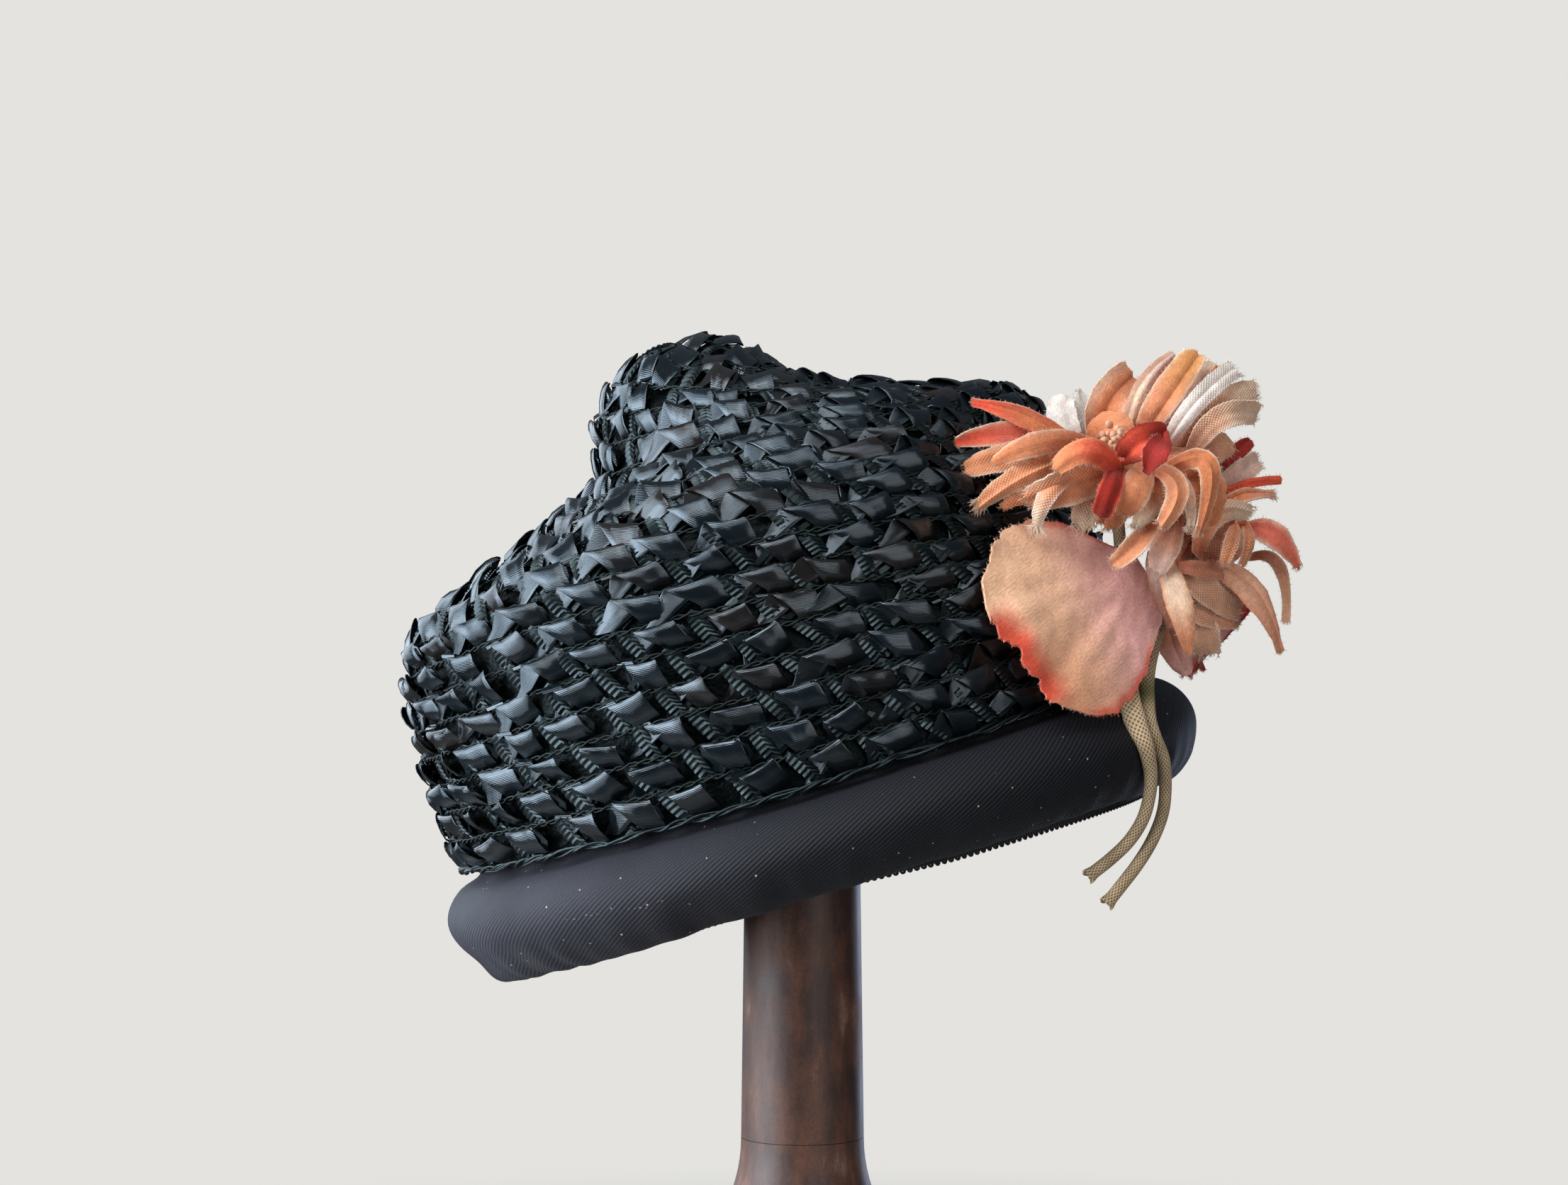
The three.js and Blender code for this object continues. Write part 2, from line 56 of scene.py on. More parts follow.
Pair = tuple[float, float]
Triple = tuple[float, float, float]
Outline = tuple[Pair, ...]
Random = np.random.Generator
Material = bpy.types.Material
Node = bpy.types.Node
Object = bpy.types.Object
Socket = bpy.types.NodeSocket
Tree = bpy.types.NodeTree
SCATTER_SEED = 7


# Shared helpers


def linear(code: str) -> tuple[float, float, float, float]:
    """Turns an sRGB hex code into a linear colour.

    Args:
        code: Six hex digits with a leading hash.
    Returns:
        Red, green, blue and full alpha.
    """
    parts = [int(code[i : i + 2], 16) / 255 for i in (1, 3, 5)]
    made = [c / 12.92 if c <= 0.04045 else ((c + 0.055) / 1.055) ** 2.4 for c in parts]
    return (made[0], made[1], made[2], 1.0)


def add(tree: Tree, kind: str, inputs: Optional[dict] = None, **settings: Any) -> Node:
    """Adds a node with its settings and links.

    Args:
        tree: The node tree that gets the node.
        kind: The node's type name.
        inputs: Values or output sockets by input name or number.
        settings: The node's own properties.
    Returns:
        The new node.
    """
    node = tree.nodes.new(kind)
    for name, value in settings.items():
        setattr(node, name, value)
    for key, value in (inputs or {}).items():
        live = [s for s in node.inputs if s.enabled and s.name == key]
        socket = node.inputs[key] if isinstance(key, int) else live[0]
        if isinstance(value, Socket):
            tree.links.new(value, socket)
        else:
            socket.default_value = value
    return node


def out(node: Node, name: str) -> Socket:
    """The node's output of that name that is in use."""
    return next(s for s in node.outputs if s.enabled and s.name == name)


def ramp(tree: Tree, factor: Socket, stops: Sequence[tuple[float, Any]]) -> Socket:
    """Maps a factor to colours through stops.

    Args:
        tree: The node tree.
        factor: The socket that drives the map.
        stops: Places from 0 to 1, each with a hex code or a grey level.
    Returns:
        The colour output.
    """
    node = add(tree, "ShaderNodeValToRGB", {"Fac": factor})
    marks = node.color_ramp.elements
    while len(marks) < len(stops):
        marks.new(0.5)
    for mark, (place, tone) in zip(marks, stops):
        mark.position = place
        mark.color = linear(tone) if isinstance(tone, str) else (tone, tone, tone, 1.0)
    return node.outputs["Color"]


def smooth_step(low: float, high: float, value: Array) -> Array:
    """A soft step from 0 at low to 1 at high."""
    t = np.clip((np.asarray(value, float) - low) / (high - low), 0, 1)
    return t * t * (3 - 2 * t)


def unit(vectors: Array) -> Array:
    """The vectors at length one."""
    size = np.linalg.norm(vectors, axis=-1, keepdims=True)
    return vectors / np.maximum(size, 1e-9)


def circle(count: int) -> Array:
    """Even angles once round."""
    return np.linspace(0, 2 * np.pi, count, endpoint=False)


def round_points(count: int) -> Array:
    """Points round a flat circle of radius 1."""
    turn = circle(count)
    return np.stack([np.cos(turn), np.sin(turn), 0 * turn], axis=1)


def off_deg(turn: Array, start: float = 0.0) -> Array:
    """How far angles are from a start, from -180 to 180 degrees."""
    return np.degrees(np.arctan2(np.sin(turn - start), np.cos(turn - start)))


def lengths(line: Array) -> Array:
    """How far along a line each of its points is."""
    return np.concatenate([[0], np.cumsum(np.linalg.norm(np.diff(line, axis=0), axis=1))])


def lattice(rows: Array, columns: Array) -> Array:
    """Pattern places on a grid, with the columns' value first."""
    return np.stack(np.meshgrid(rows, columns, indexing="ij")[::-1], axis=-1)


def spline(points: Array, count: int) -> Array:
    """Even samples of a smooth curve through points.

    Args:
        points: One point a row.
        count: How many samples to take.
    Returns:
        The samples, both ends included.
    """
    points = np.asarray(points, float)
    padded = np.vstack([2 * points[0] - points[1], points, 2 * points[-1] - points[-2]])
    fine = []
    for i in range(1, len(points)):
        p0, p1, p2, p3 = padded[i - 1 : i + 3]
        t = np.linspace(0, 1, 24, endpoint=False)[:, None]
        bend = 2 * p0 - 5 * p1 + 4 * p2 - p3
        fine.append(0.5 * (2 * p1 + (p2 - p0) * t + bend * t**2 + (3 * p1 - p0 - 3 * p2 + p3) * t**3))
    fine = np.vstack([*fine, points[-1:]])
    run = lengths(fine)
    places = np.linspace(0, run[-1], count)
    return np.stack([np.interp(places, run, fine[:, k]) for k in range(fine.shape[1])], axis=1)


def rough(points: Array, scale: float, seed: float) -> Array:
    """Smooth noise from -1 to 1 at points.

    Args:
        points: One point a row, in millimetres.
        scale: The size of a lump in millimetres.
        seed: Shifts the pattern.
    Returns:
        One value a point.
    """
    return np.array([noise.noise(Vector(p) / scale + Vector((seed, 2 * seed, -seed))) for p in points])


@dataclass
class Surface:
    """Points, faces and patterns of a mesh before it is made."""

    points: Array
    faces: Faces
    uv: Optional[Array] = None
    floats: dict[str, Array] = field(default_factory=dict)
    tint: Optional[Array] = None

    def area(self) -> float:
        """The area of all faces in square millimetres."""
        total = 0.0
        for f in self.faces:
            a = self.points[f[0]]
            for b, c in zip(f[1:-1], f[2:]):
                total += np.linalg.norm(np.cross(self.points[b] - a, self.points[c] - a)) / 2
        return float(total)

    def make(self, name: str, material: Optional[Material], smooth_deg: Optional[float] = 60) -> Object:
        """Makes the mesh object in metres and links it to the scene.

        Args:
            name: The object's name.
            material: Its finish.
            smooth_deg: Edges sharper than this stay crisp; None leaves all faces flat.
        Returns:
            The object, at the origin.
        """
        mesh = bpy.data.meshes.new(name)
        mesh.from_pydata((self.points * MM).tolist(), [], self.faces)
        if self.uv is not None:
            mesh.uv_layers.new(name="cloth").data.foreach_set("uv", self.uv.astype(np.float32).ravel())
        for key, values in self.floats.items():
            mesh.attributes.new(key, "FLOAT", "POINT").data.foreach_set("value", values.astype(np.float32))
        if self.tint is not None:
            colours = np.concatenate([self.tint, np.ones((len(self.tint), 1))], axis=1)
            store = mesh.attributes.new("tint", "FLOAT_COLOR", "POINT")
            store.data.foreach_set("color", colours.astype(np.float32).ravel())
        mesh.validate()
        mesh.polygons.foreach_set("use_smooth", [smooth_deg is not None] * len(mesh.polygons))
        if smooth_deg is not None:
            mesh.set_sharp_from_angle(angle=math.radians(smooth_deg))
        if material is not None:
            mesh.materials.append(material)
        mesh.update()
        made = bpy.data.objects.new(name, mesh)
        bpy.context.scene.collection.objects.link(made)
        return made


def joined(parts: Sequence[Surface]) -> Surface:
    """Several surfaces as one.

    Args:
        parts: Surfaces with the same kinds of patterns.
    Returns:
        The surface that holds them all.
    """
    starts = np.cumsum([0] + [len(p.points) for p in parts])
    faces = [tuple(i + s for i in f) for p, s in zip(parts, starts) for f in p.faces]
    uv = np.concatenate([p.uv for p in parts]) if parts[0].uv is not None else None
    floats = {k: np.concatenate([p.floats[k] for p in parts]) for k in parts[0].floats}
    tint = np.concatenate([p.tint for p in parts]) if parts[0].tint is not None else None
    return Surface(np.concatenate([p.points for p in parts]), faces, uv, floats, tint)


def tube_grid(points: Array, uv: Array, cap: bool = False, wrap: bool = False) -> Surface:
    """A surface from rings of points that close round on themselves.

    Args:
        points: Rings, points of a ring, and the three coordinates.
        uv: Pattern places, with one more column than the ring has points.
        cap: Whether the first and last rings are closed with a fan face.
        wrap: Whether the last ring meets the first; the pattern then has one more row too.
    Returns:
        The surface.
    """
    rings, count = points.shape[:2]
    faces, places = [], []
    for i in range(rings if wrap else rings - 1):
        n = (i + 1) % rings
        for j in range(count):
            k = (j + 1) % count
            faces.append((i * count + j, i * count + k, n * count + k, n * count + j))
            places += [uv[i, j], uv[i, j + 1], uv[i + 1, j + 1], uv[i + 1, j]]
    if cap:
        top = (rings - 1) * count
        faces += [tuple(range(count - 1, -1, -1)), tuple(range(top, top + count))]
        places += [uv[0, j] for j in range(count - 1, -1, -1)] + [uv[-1, j] for j in range(count)]
    return Surface(points.reshape(-1, 3), faces, np.array(places))


def sheet(
    grid: Array, cloth: float, uv: Array, floats: Optional[dict] = None, tints: Optional[tuple] = None
) -> Surface:
    """A closed sheet of even thickness about a grid of points.

    Args:
        grid: Rows, columns and the three coordinates; it faces along row run x column run.
        cloth: The thickness.
        uv: Pattern places on the grid.
        floats: Named values on the grid, front then back.
        tints: Colours on the grid, front and back.
    Returns:
        The surface.
    """
    rows, columns = grid.shape[:2]
    face = unit(np.cross(np.gradient(grid, axis=0), np.gradient(grid, axis=1)))
    sides = (grid + face * cloth / 2, grid - face * cloth / 2)
    points = np.concatenate([side.reshape(-1, 3) for side in sides])
    flat_uv = np.concatenate([uv.reshape(-1, 2)] * 2)
    back = rows * columns
    faces: Faces = []
    for i in range(rows - 1):
        for j in range(columns - 1):
            a, b = i * columns + j, (i + 1) * columns + j
            faces.append((a, b, b + 1, a + 1))
            faces.append((back + a, back + a + 1, back + b + 1, back + b))
    edge = list(range(columns - 1)) + [i * columns + columns - 1 for i in range(rows - 1)]
    edge += [(rows - 1) * columns + j for j in range(columns - 1, 0, -1)]
    edge += [i * columns for i in range(rows - 1, 0, -1)]
    for n, a in enumerate(edge):
        b = edge[(n + 1) % len(edge)]
        faces.append((a, b, back + b, back + a))
    corner_uv = np.array([flat_uv[i] for f in faces for i in f])
    made = {k: np.concatenate([np.ravel(v[0]), np.ravel(v[1])]) for k, v in (floats or {}).items()}
    tint = None if tints is None else np.concatenate([t.reshape(-1, 3) for t in tints])
    return Surface(points, faces, corner_uv, made, tint)


def ready(piece: Object, stands_for: Sequence[str] = ()) -> Object:
    """Puts a finished piece on the part's body and logs it.

    Args:
        piece: The mesh object, at the origin.
        stands_for: The solids that it takes the place of.
    Returns:
        The piece.
    """
    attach(piece, "root")
    if stands_for:
        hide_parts(*stands_for)
    LOG.info("%s: %d faces", piece.name, len(piece.data.polygons))
    return piece


# Geometry Nodes


class Growth:
    """Node trees that repeat small shapes on points or run a round section along lines."""

    @staticmethod
    def _tree(name: str, sockets: Sequence[tuple[str, str]]) -> tuple[Tree, Node]:
        """A tree with named inputs and one geometry output.

        Args:
            name: The tree's name.
            sockets: Input names and kinds after the geometry.
        Returns:
            The tree and its input node.
        """
        tree = bpy.data.node_groups.new(name, "GeometryNodeTree")
        tree.interface.new_socket("Geometry", in_out="OUTPUT", socket_type="NodeSocketGeometry")
        tree.interface.new_socket("Geometry", in_out="INPUT", socket_type="NodeSocketGeometry")
        for label, kind in sockets:
            tree.interface.new_socket(label, in_out="INPUT", socket_type=kind)
        return tree, tree.nodes.new("NodeGroupInput")

    @classmethod
    def scatter(cls, shapes: int) -> Tree:
        """Copies of a few shapes on points that carry axes, size and kind.

        Args:
            shapes: How many shapes the points choose among.
        Returns:
            The tree, with inputs for the shapes, the random tilt, its seed and the finish.
        """
        labels = [(f"Shape {i}", "NodeSocketObject") for i in range(shapes)]
        tail = [("Tilt", "NodeSocketVector"), ("Seed", "NodeSocketInt"), ("Finish", "NodeSocketMaterial")]
        tree, source = cls._tree("scatter", [*labels, *tail])
        group = add(tree, "GeometryNodeJoinGeometry")
        for label, _ in reversed(labels):
            info = add(tree, "GeometryNodeObjectInfo", {"Object": source.outputs[label], "As Instance": True})
            tree.links.new(info.outputs["Geometry"], group.inputs[0])
        read = {}
        for key in ("along", "outward", "size", "kind"):
            kind = "INT" if key == "kind" else "FLOAT_VECTOR"
            node = add(tree, "GeometryNodeInputNamedAttribute", data_type=kind)
            node.inputs["Name"].default_value = key
            read[key] = out(node, "Attribute")
        turns = {"Primary Axis": read["outward"], "Secondary Axis": read["along"]}
        axes = add(tree, "FunctionNodeAxesToRotation", turns, primary_axis="Z", secondary_axis="X")
        low = add(tree, "ShaderNodeVectorMath", {0: source.outputs["Tilt"]}, operation="SCALE")
        low.inputs["Scale"].default_value = -1
        span = {"Min": low.outputs[0], "Max": source.outputs["Tilt"], "Seed": source.outputs["Seed"]}
        wobble = add(tree, "FunctionNodeRandomValue", span, data_type="FLOAT_VECTOR")
        lean = add(tree, "FunctionNodeEulerToRotation", {0: out(wobble, "Value")})
        both = {"Rotation": axes.outputs[0], "Rotate By": lean.outputs[0]}
        turned = add(tree, "FunctionNodeRotateRotation", both, rotation_space="LOCAL")
        site = {
            "Points": source.outputs["Geometry"],
            "Instance": group.outputs[0],
            "Pick Instance": True,
            "Instance Index": read["kind"],
            "Rotation": turned.outputs[0],
            "Scale": read["size"],
        }
        placed = add(tree, "GeometryNodeInstanceOnPoints", site)
        return cls._close(tree, placed.outputs[0], source)

    @classmethod
    def cord(cls) -> Tree:
        """A round section along lines, with inputs for its radius, sides and finish."""
        kinds = [("Radius", "NodeSocketFloat"), ("Sides", "NodeSocketInt"), ("Finish", "NodeSocketMaterial")]
        tree, source = cls._tree("cord", kinds)
        line = add(tree, "GeometryNodeMeshToCurve", {"Mesh": source.outputs["Geometry"]})
        shape = {"Resolution": source.outputs["Sides"], "Radius": source.outputs["Radius"]}
        ring = add(tree, "GeometryNodeCurvePrimitiveCircle", shape)
        sweep = {"Curve": line.outputs[0], "Profile Curve": ring.outputs[0], "Fill Caps": True}
        swept = add(tree, "GeometryNodeCurveToMesh", sweep)
        return cls._close(tree, swept.outputs[0], source)

    @staticmethod
    def _close(tree: Tree, made: Socket, source: Node) -> Tree:
        """Ends a tree in real geometry with its finish."""
        real = add(tree, "GeometryNodeRealizeInstances", {"Geometry": made})
        worn = {"Geometry": real.outputs[0], "Material": source.outputs["Finish"]}
        dressed = add(tree, "GeometryNodeSetMaterial", worn)
        add(tree, "NodeGroupOutput", {0: dressed.outputs[0]})
        return tree

    @staticmethod
    def grow(seed_object: Object, tree: Tree, values: dict[str, Any]) -> Object:
        """Runs a tree on an object and keeps the plain mesh.

        Args:
            seed_object: The object that holds points or lines.
            tree: The tree to run.
            values: The tree's inputs by name.
        Returns:
            The same object with the grown mesh and no modifier.
        """
        modifier = seed_object.modifiers.new("growth", "NODES")
        modifier.node_group = tree
        for item in tree.interface.items_tree:
            if item.in_out == "INPUT" and item.name in values:
                modifier[item.identifier] = values[item.name]
        graph = bpy.context.evaluated_depsgraph_get()
        mesh = bpy.data.meshes.new_from_object(seed_object.evaluated_get(graph))
        seed_object.modifiers.remove(modifier)
        seed_object.data = mesh
        mesh.name = seed_object.name
        return seed_object


@dataclass
class Sites:
    """Points that carry the axes, size and kind of the shape that grows on them."""

    places: Array
    along: Array
    outward: Array
    size: Array
    kind: Array
    shade: Array
    tint: Optional[Array] = None

    def make(self, name: str) -> Object:
        """Makes the points object.

        Args:
            name: The object's name.
        Returns:
            The object that holds the points.
        """
        surface = Surface(self.places, [], floats={"shade": self.shade}, tint=self.tint)
        made = surface.make(name, None, None)
        for key, values in (("along", self.along), ("outward", self.outward), ("size", self.size)):
            store = made.data.attributes.new(key, "FLOAT_VECTOR", "POINT")
            store.data.foreach_set("vector", values.astype(np.float32).ravel())
        made.data.attributes.new("kind", "INT", "POINT").data.foreach_set("value", self.kind.astype(np.int32))
        return made

    def grow(
        self, name: str, shapes: Sequence[Surface], finish: Material, tilt_deg: tuple, smooth_deg: float
    ) -> Object:
        """Grows the shapes on the points.

        Args:
            name: The piece's name.
            shapes: The shapes that the points choose among.
            finish: The material.
            tilt_deg: The largest random lean about the shape's own axes.
            smooth_deg: Edges sharper than this stay crisp.
        Returns:
            The piece.
        """
        models = [s.make(f"{name}_shape_{i}", finish, smooth_deg) for i, s in enumerate(shapes)]
        values: dict[str, Any] = {f"Shape {i}": m for i, m in enumerate(models)}
        values.update({"Tilt": [math.radians(t) for t in tilt_deg], "Seed": SCATTER_SEED, "Finish": finish})
        made = Growth.grow(self.make(name), Growth.scatter(len(shapes)), values)
        for model in models:
            bpy.data.objects.remove(model)
        return made


def thread(
    name: str, lines: Sequence[Array], radius: float, sides: int, finish: Material, closed: bool
) -> Object:
    """Round cords along lines of points.

    Args:
        name: The piece's name.
        lines: The lines that the cords follow.
        radius: The cord's radius.
        sides: Sides of its round section.
        finish: The material.
        closed: Whether each line meets its own start.
    Returns:
        The piece.
    """
    mesh = bpy.data.meshes.new(name)
    edges, start = [], 0
    for line in lines:
        count = len(line)
        edges += [(start + i, start + (i + 1) % count) for i in range(count if closed else count - 1)]
        start += count
    mesh.from_pydata((np.concatenate(lines) * MM).tolist(), edges, [])
    made = bpy.data.objects.new(name, mesh)
    bpy.context.scene.collection.objects.link(made)
    Growth.grow(made, Growth.cord(), {"Radius": radius * MM, "Sides": sides, "Finish": finish})
    made.data.polygons.foreach_set("use_smooth", [True] * len(made.data.polygons))
    return made


# Finishes


def stored(tree: Tree, name: str, output: str = "Fac") -> Socket:
    """A value that the mesh carries under that name."""
    return add(tree, "ShaderNodeAttribute", attribute_name=name).outputs[output]


def lumps(tree: Tree, place: Socket, size: float, detail: float, roughness: float = 0.5) -> Socket:
    """Soft noise.

    Args:
        tree: The node tree.
        place: The pattern's coordinates.
        size: The size of a lump in the units of the coordinates.
        detail: How many finer layers it has.
        roughness: How strong the finer layers are.
    Returns:
        The noise from 0 to 1.
    """
    values = {"Vector": place, "Scale": 1 / size, "Detail": detail, "Roughness": roughness}
    return add(tree, "ShaderNodeTexNoise", values).outputs["Fac"]


def waves(
    tree: Tree, place: Socket, pitch: float, axis: str, stray: float = 0.0, detail: float = 2.0
) -> Socket:
    """Straight waves.

    Args:
        tree: The node tree.
        place: The pattern's coordinates.
        pitch: From wave to wave, in the units of the coordinates.
        axis: The axis along which the waves follow each other.
        stray: How far they stray.
        detail: How many finer layers the straying has.
    Returns:
        The waves from 0 to 1.
    """
    scale = 2 * math.pi / (20 * pitch)
    values = {"Vector": place, "Scale": scale, "Distortion": stray, "Detail": detail}
    return add(tree, "ShaderNodeTexWave", values, bands_direction=axis).outputs["Fac"]


def stretched(tree: Tree, place: Socket, scale: Triple) -> Socket:
    """Coordinates with each axis scaled."""
    node = add(tree, "ShaderNodeMapping", {"Vector": place})
    node.inputs["Scale"].default_value = scale
    return node.outputs[0]


def leaned(tree: Tree, place: Socket, angle_deg: float) -> Socket:
    """Flat coordinates turned by an angle."""
    node = add(tree, "ShaderNodeMapping", {"Vector": place})
    node.inputs["Rotation"].default_value = (0, 0, math.radians(angle_deg))
    return node.outputs[0]


def mixed(tree: Tree, factor: Any, first: Any, second: Any, kind: str = "RGBA", blend: str = "MIX") -> Socket:
    """Two values or colours as one.

    Args:
        tree: The node tree.
        factor: How much of the second shows.
        first: A socket or a value.
        second: The other one.
        kind: RGBA for colours, FLOAT for values.
        blend: How colours are joined.
    Returns:
        The result.
    """
    values = {"Factor": factor, "A": first, "B": second}
    return out(add(tree, "ShaderNodeMix", values, data_type=kind, blend_type=blend), "Result")


def reckoned(tree: Tree, operation: str, *values: Any) -> Socket:
    """The outcome of a sum or product of values."""
    return add(tree, "ShaderNodeMath", dict(enumerate(values)), operation=operation).outputs[0]


@dataclass(frozen=True)
class Finish:
    """What all finishes share: a name and the values that are the same all over."""

    name: str
    roughness: float = 0.5
    specular: float = 0.5
    sheen: float = 0.0
    sheen_tint: str = "#FFFFFF"
    sheen_roughness: float = 0.45

    def build(self) -> Material:
        """Makes the material."""
        material = bpy.data.materials.new(self.name)
        material.use_nodes = True
        shader = material.node_tree.nodes["Principled BSDF"]
        values = {
            "Roughness": self.roughness,
            "Specular IOR Level": self.specular,
            "Sheen Weight": self.sheen,
            "Sheen Roughness": self.sheen_roughness,
            "Sheen Tint": linear(self.sheen_tint),
        }
        for key, value in values.items():
            shader.inputs[key].default_value = value
        self.paint(material.node_tree, shader)
        return material

    def paint(self, tree: Tree, shader: Node) -> None:
        """Joins the patterns of the finish to its shader.

        Args:
            tree: The material's tree.
            shader: Its shader.
        """
        raise NotImplementedError

    @staticmethod
    def bumped(tree: Tree, shader: Node, height: Socket, depth: float, strength: float) -> None:
        """Gives the shader a relief.

        Args:
            tree: The material's tree.
            shader: Its shader.
            height: The relief from 0 to 1.
            depth: Its depth in millimetres.
            strength: How much of it shows.
        """
        values = {"Height": height, "Distance": depth * MM, "Strength": strength}
        bump = add(tree, "ShaderNodeBump", values)
        tree.links.new(bump.outputs["Normal"], shader.inputs["Normal"])


@dataclass(frozen=True)
class CellophaneStraw(Finish):
    """Extruded black cellophane ribbon: satin, faintly lined across its length, blue-black to brown-black."""

    tones: tuple[str, str, str] = ("#080D11", "#10171B", "#1E1815")
    tone_places: Triple = (0, 0.55, 1)
    reflected: str = "#D2E2EE"
    line: float = 0.55
    crumple: float = 3.5
    relief: float = 0.25

    def paint(self, tree: Tree, shader: Node) -> None:
        """Joins the patterns to the shader."""
        tone = ramp(tree, stored(tree, "shade"), list(zip(self.tone_places, self.tones)))
        tree.links.new(tone, shader.inputs["Base Color"])
        shader.inputs["Specular Tint"].default_value = linear(self.reflected)
        place = add(tree, "ShaderNodeTexCoord").outputs
        soft = lumps(tree, place["Object"], self.crumple * MM, 1.0)
        gloss = ramp(tree, soft, [(0.3, 0.09), (0.7, 0.19)])
        tree.links.new(gloss, shader.inputs["Roughness"])
        lines = waves(tree, place["UV"], self.line, "Y", 0.6)
        self.bumped(tree, shader, mixed(tree, 0.6, lines, soft, "FLOAT"), self.relief, 0.3)


@dataclass(frozen=True)
class RayonGimp(Finish):
    """Black rayon gimp and sewing thread: soft lustre on each plait, dull in between."""

    tones: tuple[str, str] = ("#07090A", "#15191A")
    fibre: float = 0.5
    relief: float = 0.15
    reflected: str = "#C4DCE2"

    def paint(self, tree: Tree, shader: Node) -> None:
        """Joins the patterns to the shader."""
        shader.inputs["Specular Tint"].default_value = linear(self.reflected)
        place = add(tree, "ShaderNodeTexCoord").outputs["Object"]
        fibres = lumps(tree, place, self.fibre * MM, 2.0)
        tone = ramp(tree, fibres, [(0.35, self.tones[0]), (0.65, self.tones[1])])
        tree.links.new(tone, shader.inputs["Base Color"])
        self.bumped(tree, shader, fibres, self.relief, 0.5)


@dataclass(frozen=True)
class RibbedTwill(Finish):
    """Woven faille: steep diagonal ribs, a bloom of wear that is also painted light on the lit left end, and
    specks of lint.

    The real ribs are 0.9 mm apart; they are drawn wider so that they show in the render.
    """

    dark: str = "#060709"
    light: str = "#202128"
    # worn: the grey-purple of wear and of painted light where the left end is lit
    worn: str = "#44434D"
    lint: str = "#B8AC9A"
    rib: float = 1.05
    rib_deg: float = -59.0
    weft: float = 0.6
    bloom: float = 28.0
    speck_apart: float = 3.2
    dust_apart: float = 1.2
    relief: float = 0.4

    def paint(self, tree: Tree, shader: Node) -> None:
        """Joins the patterns to the shader."""
        place = add(tree, "ShaderNodeTexCoord").outputs
        lean = leaned(tree, place["UV"], self.rib_deg)
        ribs = waves(tree, lean, self.rib, "X", 0.5, 1.0)
        cross = waves(tree, lean, self.weft, "Y", 0.4)
        relief = mixed(tree, 0.25, ribs, cross, "FLOAT")
        tone = ramp(tree, relief, [(0.1, self.dark), (0.8, self.light)])
        bloom = lumps(tree, place["Object"], self.bloom * MM, 3.0)
        # painted light: the mesh's fade value lets the worn grey-purple show toward the left end, where light
        # falls; the bloom noise breaks it up as wear
        wear_and_painted_light = reckoned(tree, "MULTIPLY", bloom, stored(tree, "fade"))
        worn_and_lit_tone = mixed(tree, wear_and_painted_light, tone, linear(self.worn))
        specks, dust = [
            add(tree, "ShaderNodeTexVoronoi", {"Vector": place["Object"], "Scale": 1 / (apart * MM)})
            for apart in (self.speck_apart, self.dust_apart)
        ]
        spots = ramp(tree, specks.outputs["Distance"], [(0.05, 1.0), (0.11, 0.0)])
        few = ramp(tree, specks.outputs["Color"], [(0.62, 0.0), (0.72, 1.0)])
        dots = ramp(tree, dust.outputs["Distance"], [(0.14, 0.8), (0.34, 0.0)])
        trail = ramp(tree, stored(tree, "trail"), [(0.2, 1.0), (0.6, 0.0)])
        lint = reckoned(tree, "MULTIPLY_ADD", spots, few, reckoned(tree, "MULTIPLY", dots, trail))
        specked = mixed(tree, lint, worn_and_lit_tone, linear(self.lint))
        tree.links.new(specked, shader.inputs["Base Color"])
        self.bumped(tree, shader, relief, self.relief, 0.5)


@dataclass(frozen=True)
class Grosgrain(Finish):
    """Black grosgrain ribbon: fine ribs straight across it, dull silk lustre."""

    dark: str = "#08080A"
    light: str = "#1B1B1F"
    rib: float = 0.8
    relief: float = 0.25

    def paint(self, tree: Tree, shader: Node) -> None:
        """Joins the patterns to the shader."""
        ribs = waves(tree, add(tree, "ShaderNodeTexCoord").outputs["UV"], self.rib, "X")
        tone = ramp(tree, ribs, [(0.1, self.dark), (0.9, self.light)])
        tree.links.new(tone, shader.inputs["Base Color"])
        self.bumped(tree, shader, ribs, self.relief, 0.6)


@dataclass(frozen=True)
class Velvet(Finish):
    """Dyed cotton velvet: mottled dye, short leaning nap, and a twill ground where its back shows."""

    nap: float = 0.45
    nap_stretch: float = 0.5
    mottle: float = 3.0
    blotch: Pair = (0.78, 1.12)
    grain: Pair = (0.76, 1.12)
    twill: float = 0.66
    twill_deg: Pair = (40, -50)
    through: float = 0.35
    through_reach: float = 1.5
    through_tones: Triple = (1.0, 0.45, 0.3)
    relief: float = 0.3

    def paint(self, tree: Tree, shader: Node) -> None:
        """Joins the patterns to the shader."""
        place = add(tree, "ShaderNodeTexCoord").outputs
        shader.inputs["Subsurface Weight"].default_value = self.through
        shader.inputs["Subsurface Radius"].default_value = self.through_tones
        shader.inputs["Subsurface Scale"].default_value = self.through_reach * MM
        blot = lumps(tree, place["Object"], self.mottle * MM, 4.0)
        fur = lumps(tree, stretched(tree, place["UV"], (self.nap_stretch, 1, 1)), self.nap, 2.0)
        rows = [waves(tree, leaned(tree, place["UV"], a), self.twill, "X", 0.4) for a in self.twill_deg]
        woven = reckoned(tree, "MULTIPLY", reckoned(tree, "ADD", *rows), 0.5)
        relief = mixed(tree, stored(tree, "weave"), fur, woven, "FLOAT")
        patch = ramp(tree, blot, [(0.3, self.blotch[0]), (0.72, self.blotch[1])])
        grain = ramp(tree, relief, [(0.25, self.grain[0]), (0.75, self.grain[1])])
        shade = mixed(tree, 1.0, patch, grain, blend="MULTIPLY")
        dyed = mixed(tree, 1.0, stored(tree, "tint", "Color"), shade, blend="MULTIPLY")
        tree.links.new(dyed, shader.inputs["Base Color"])
        self.bumped(tree, shader, relief, self.relief, 0.7)


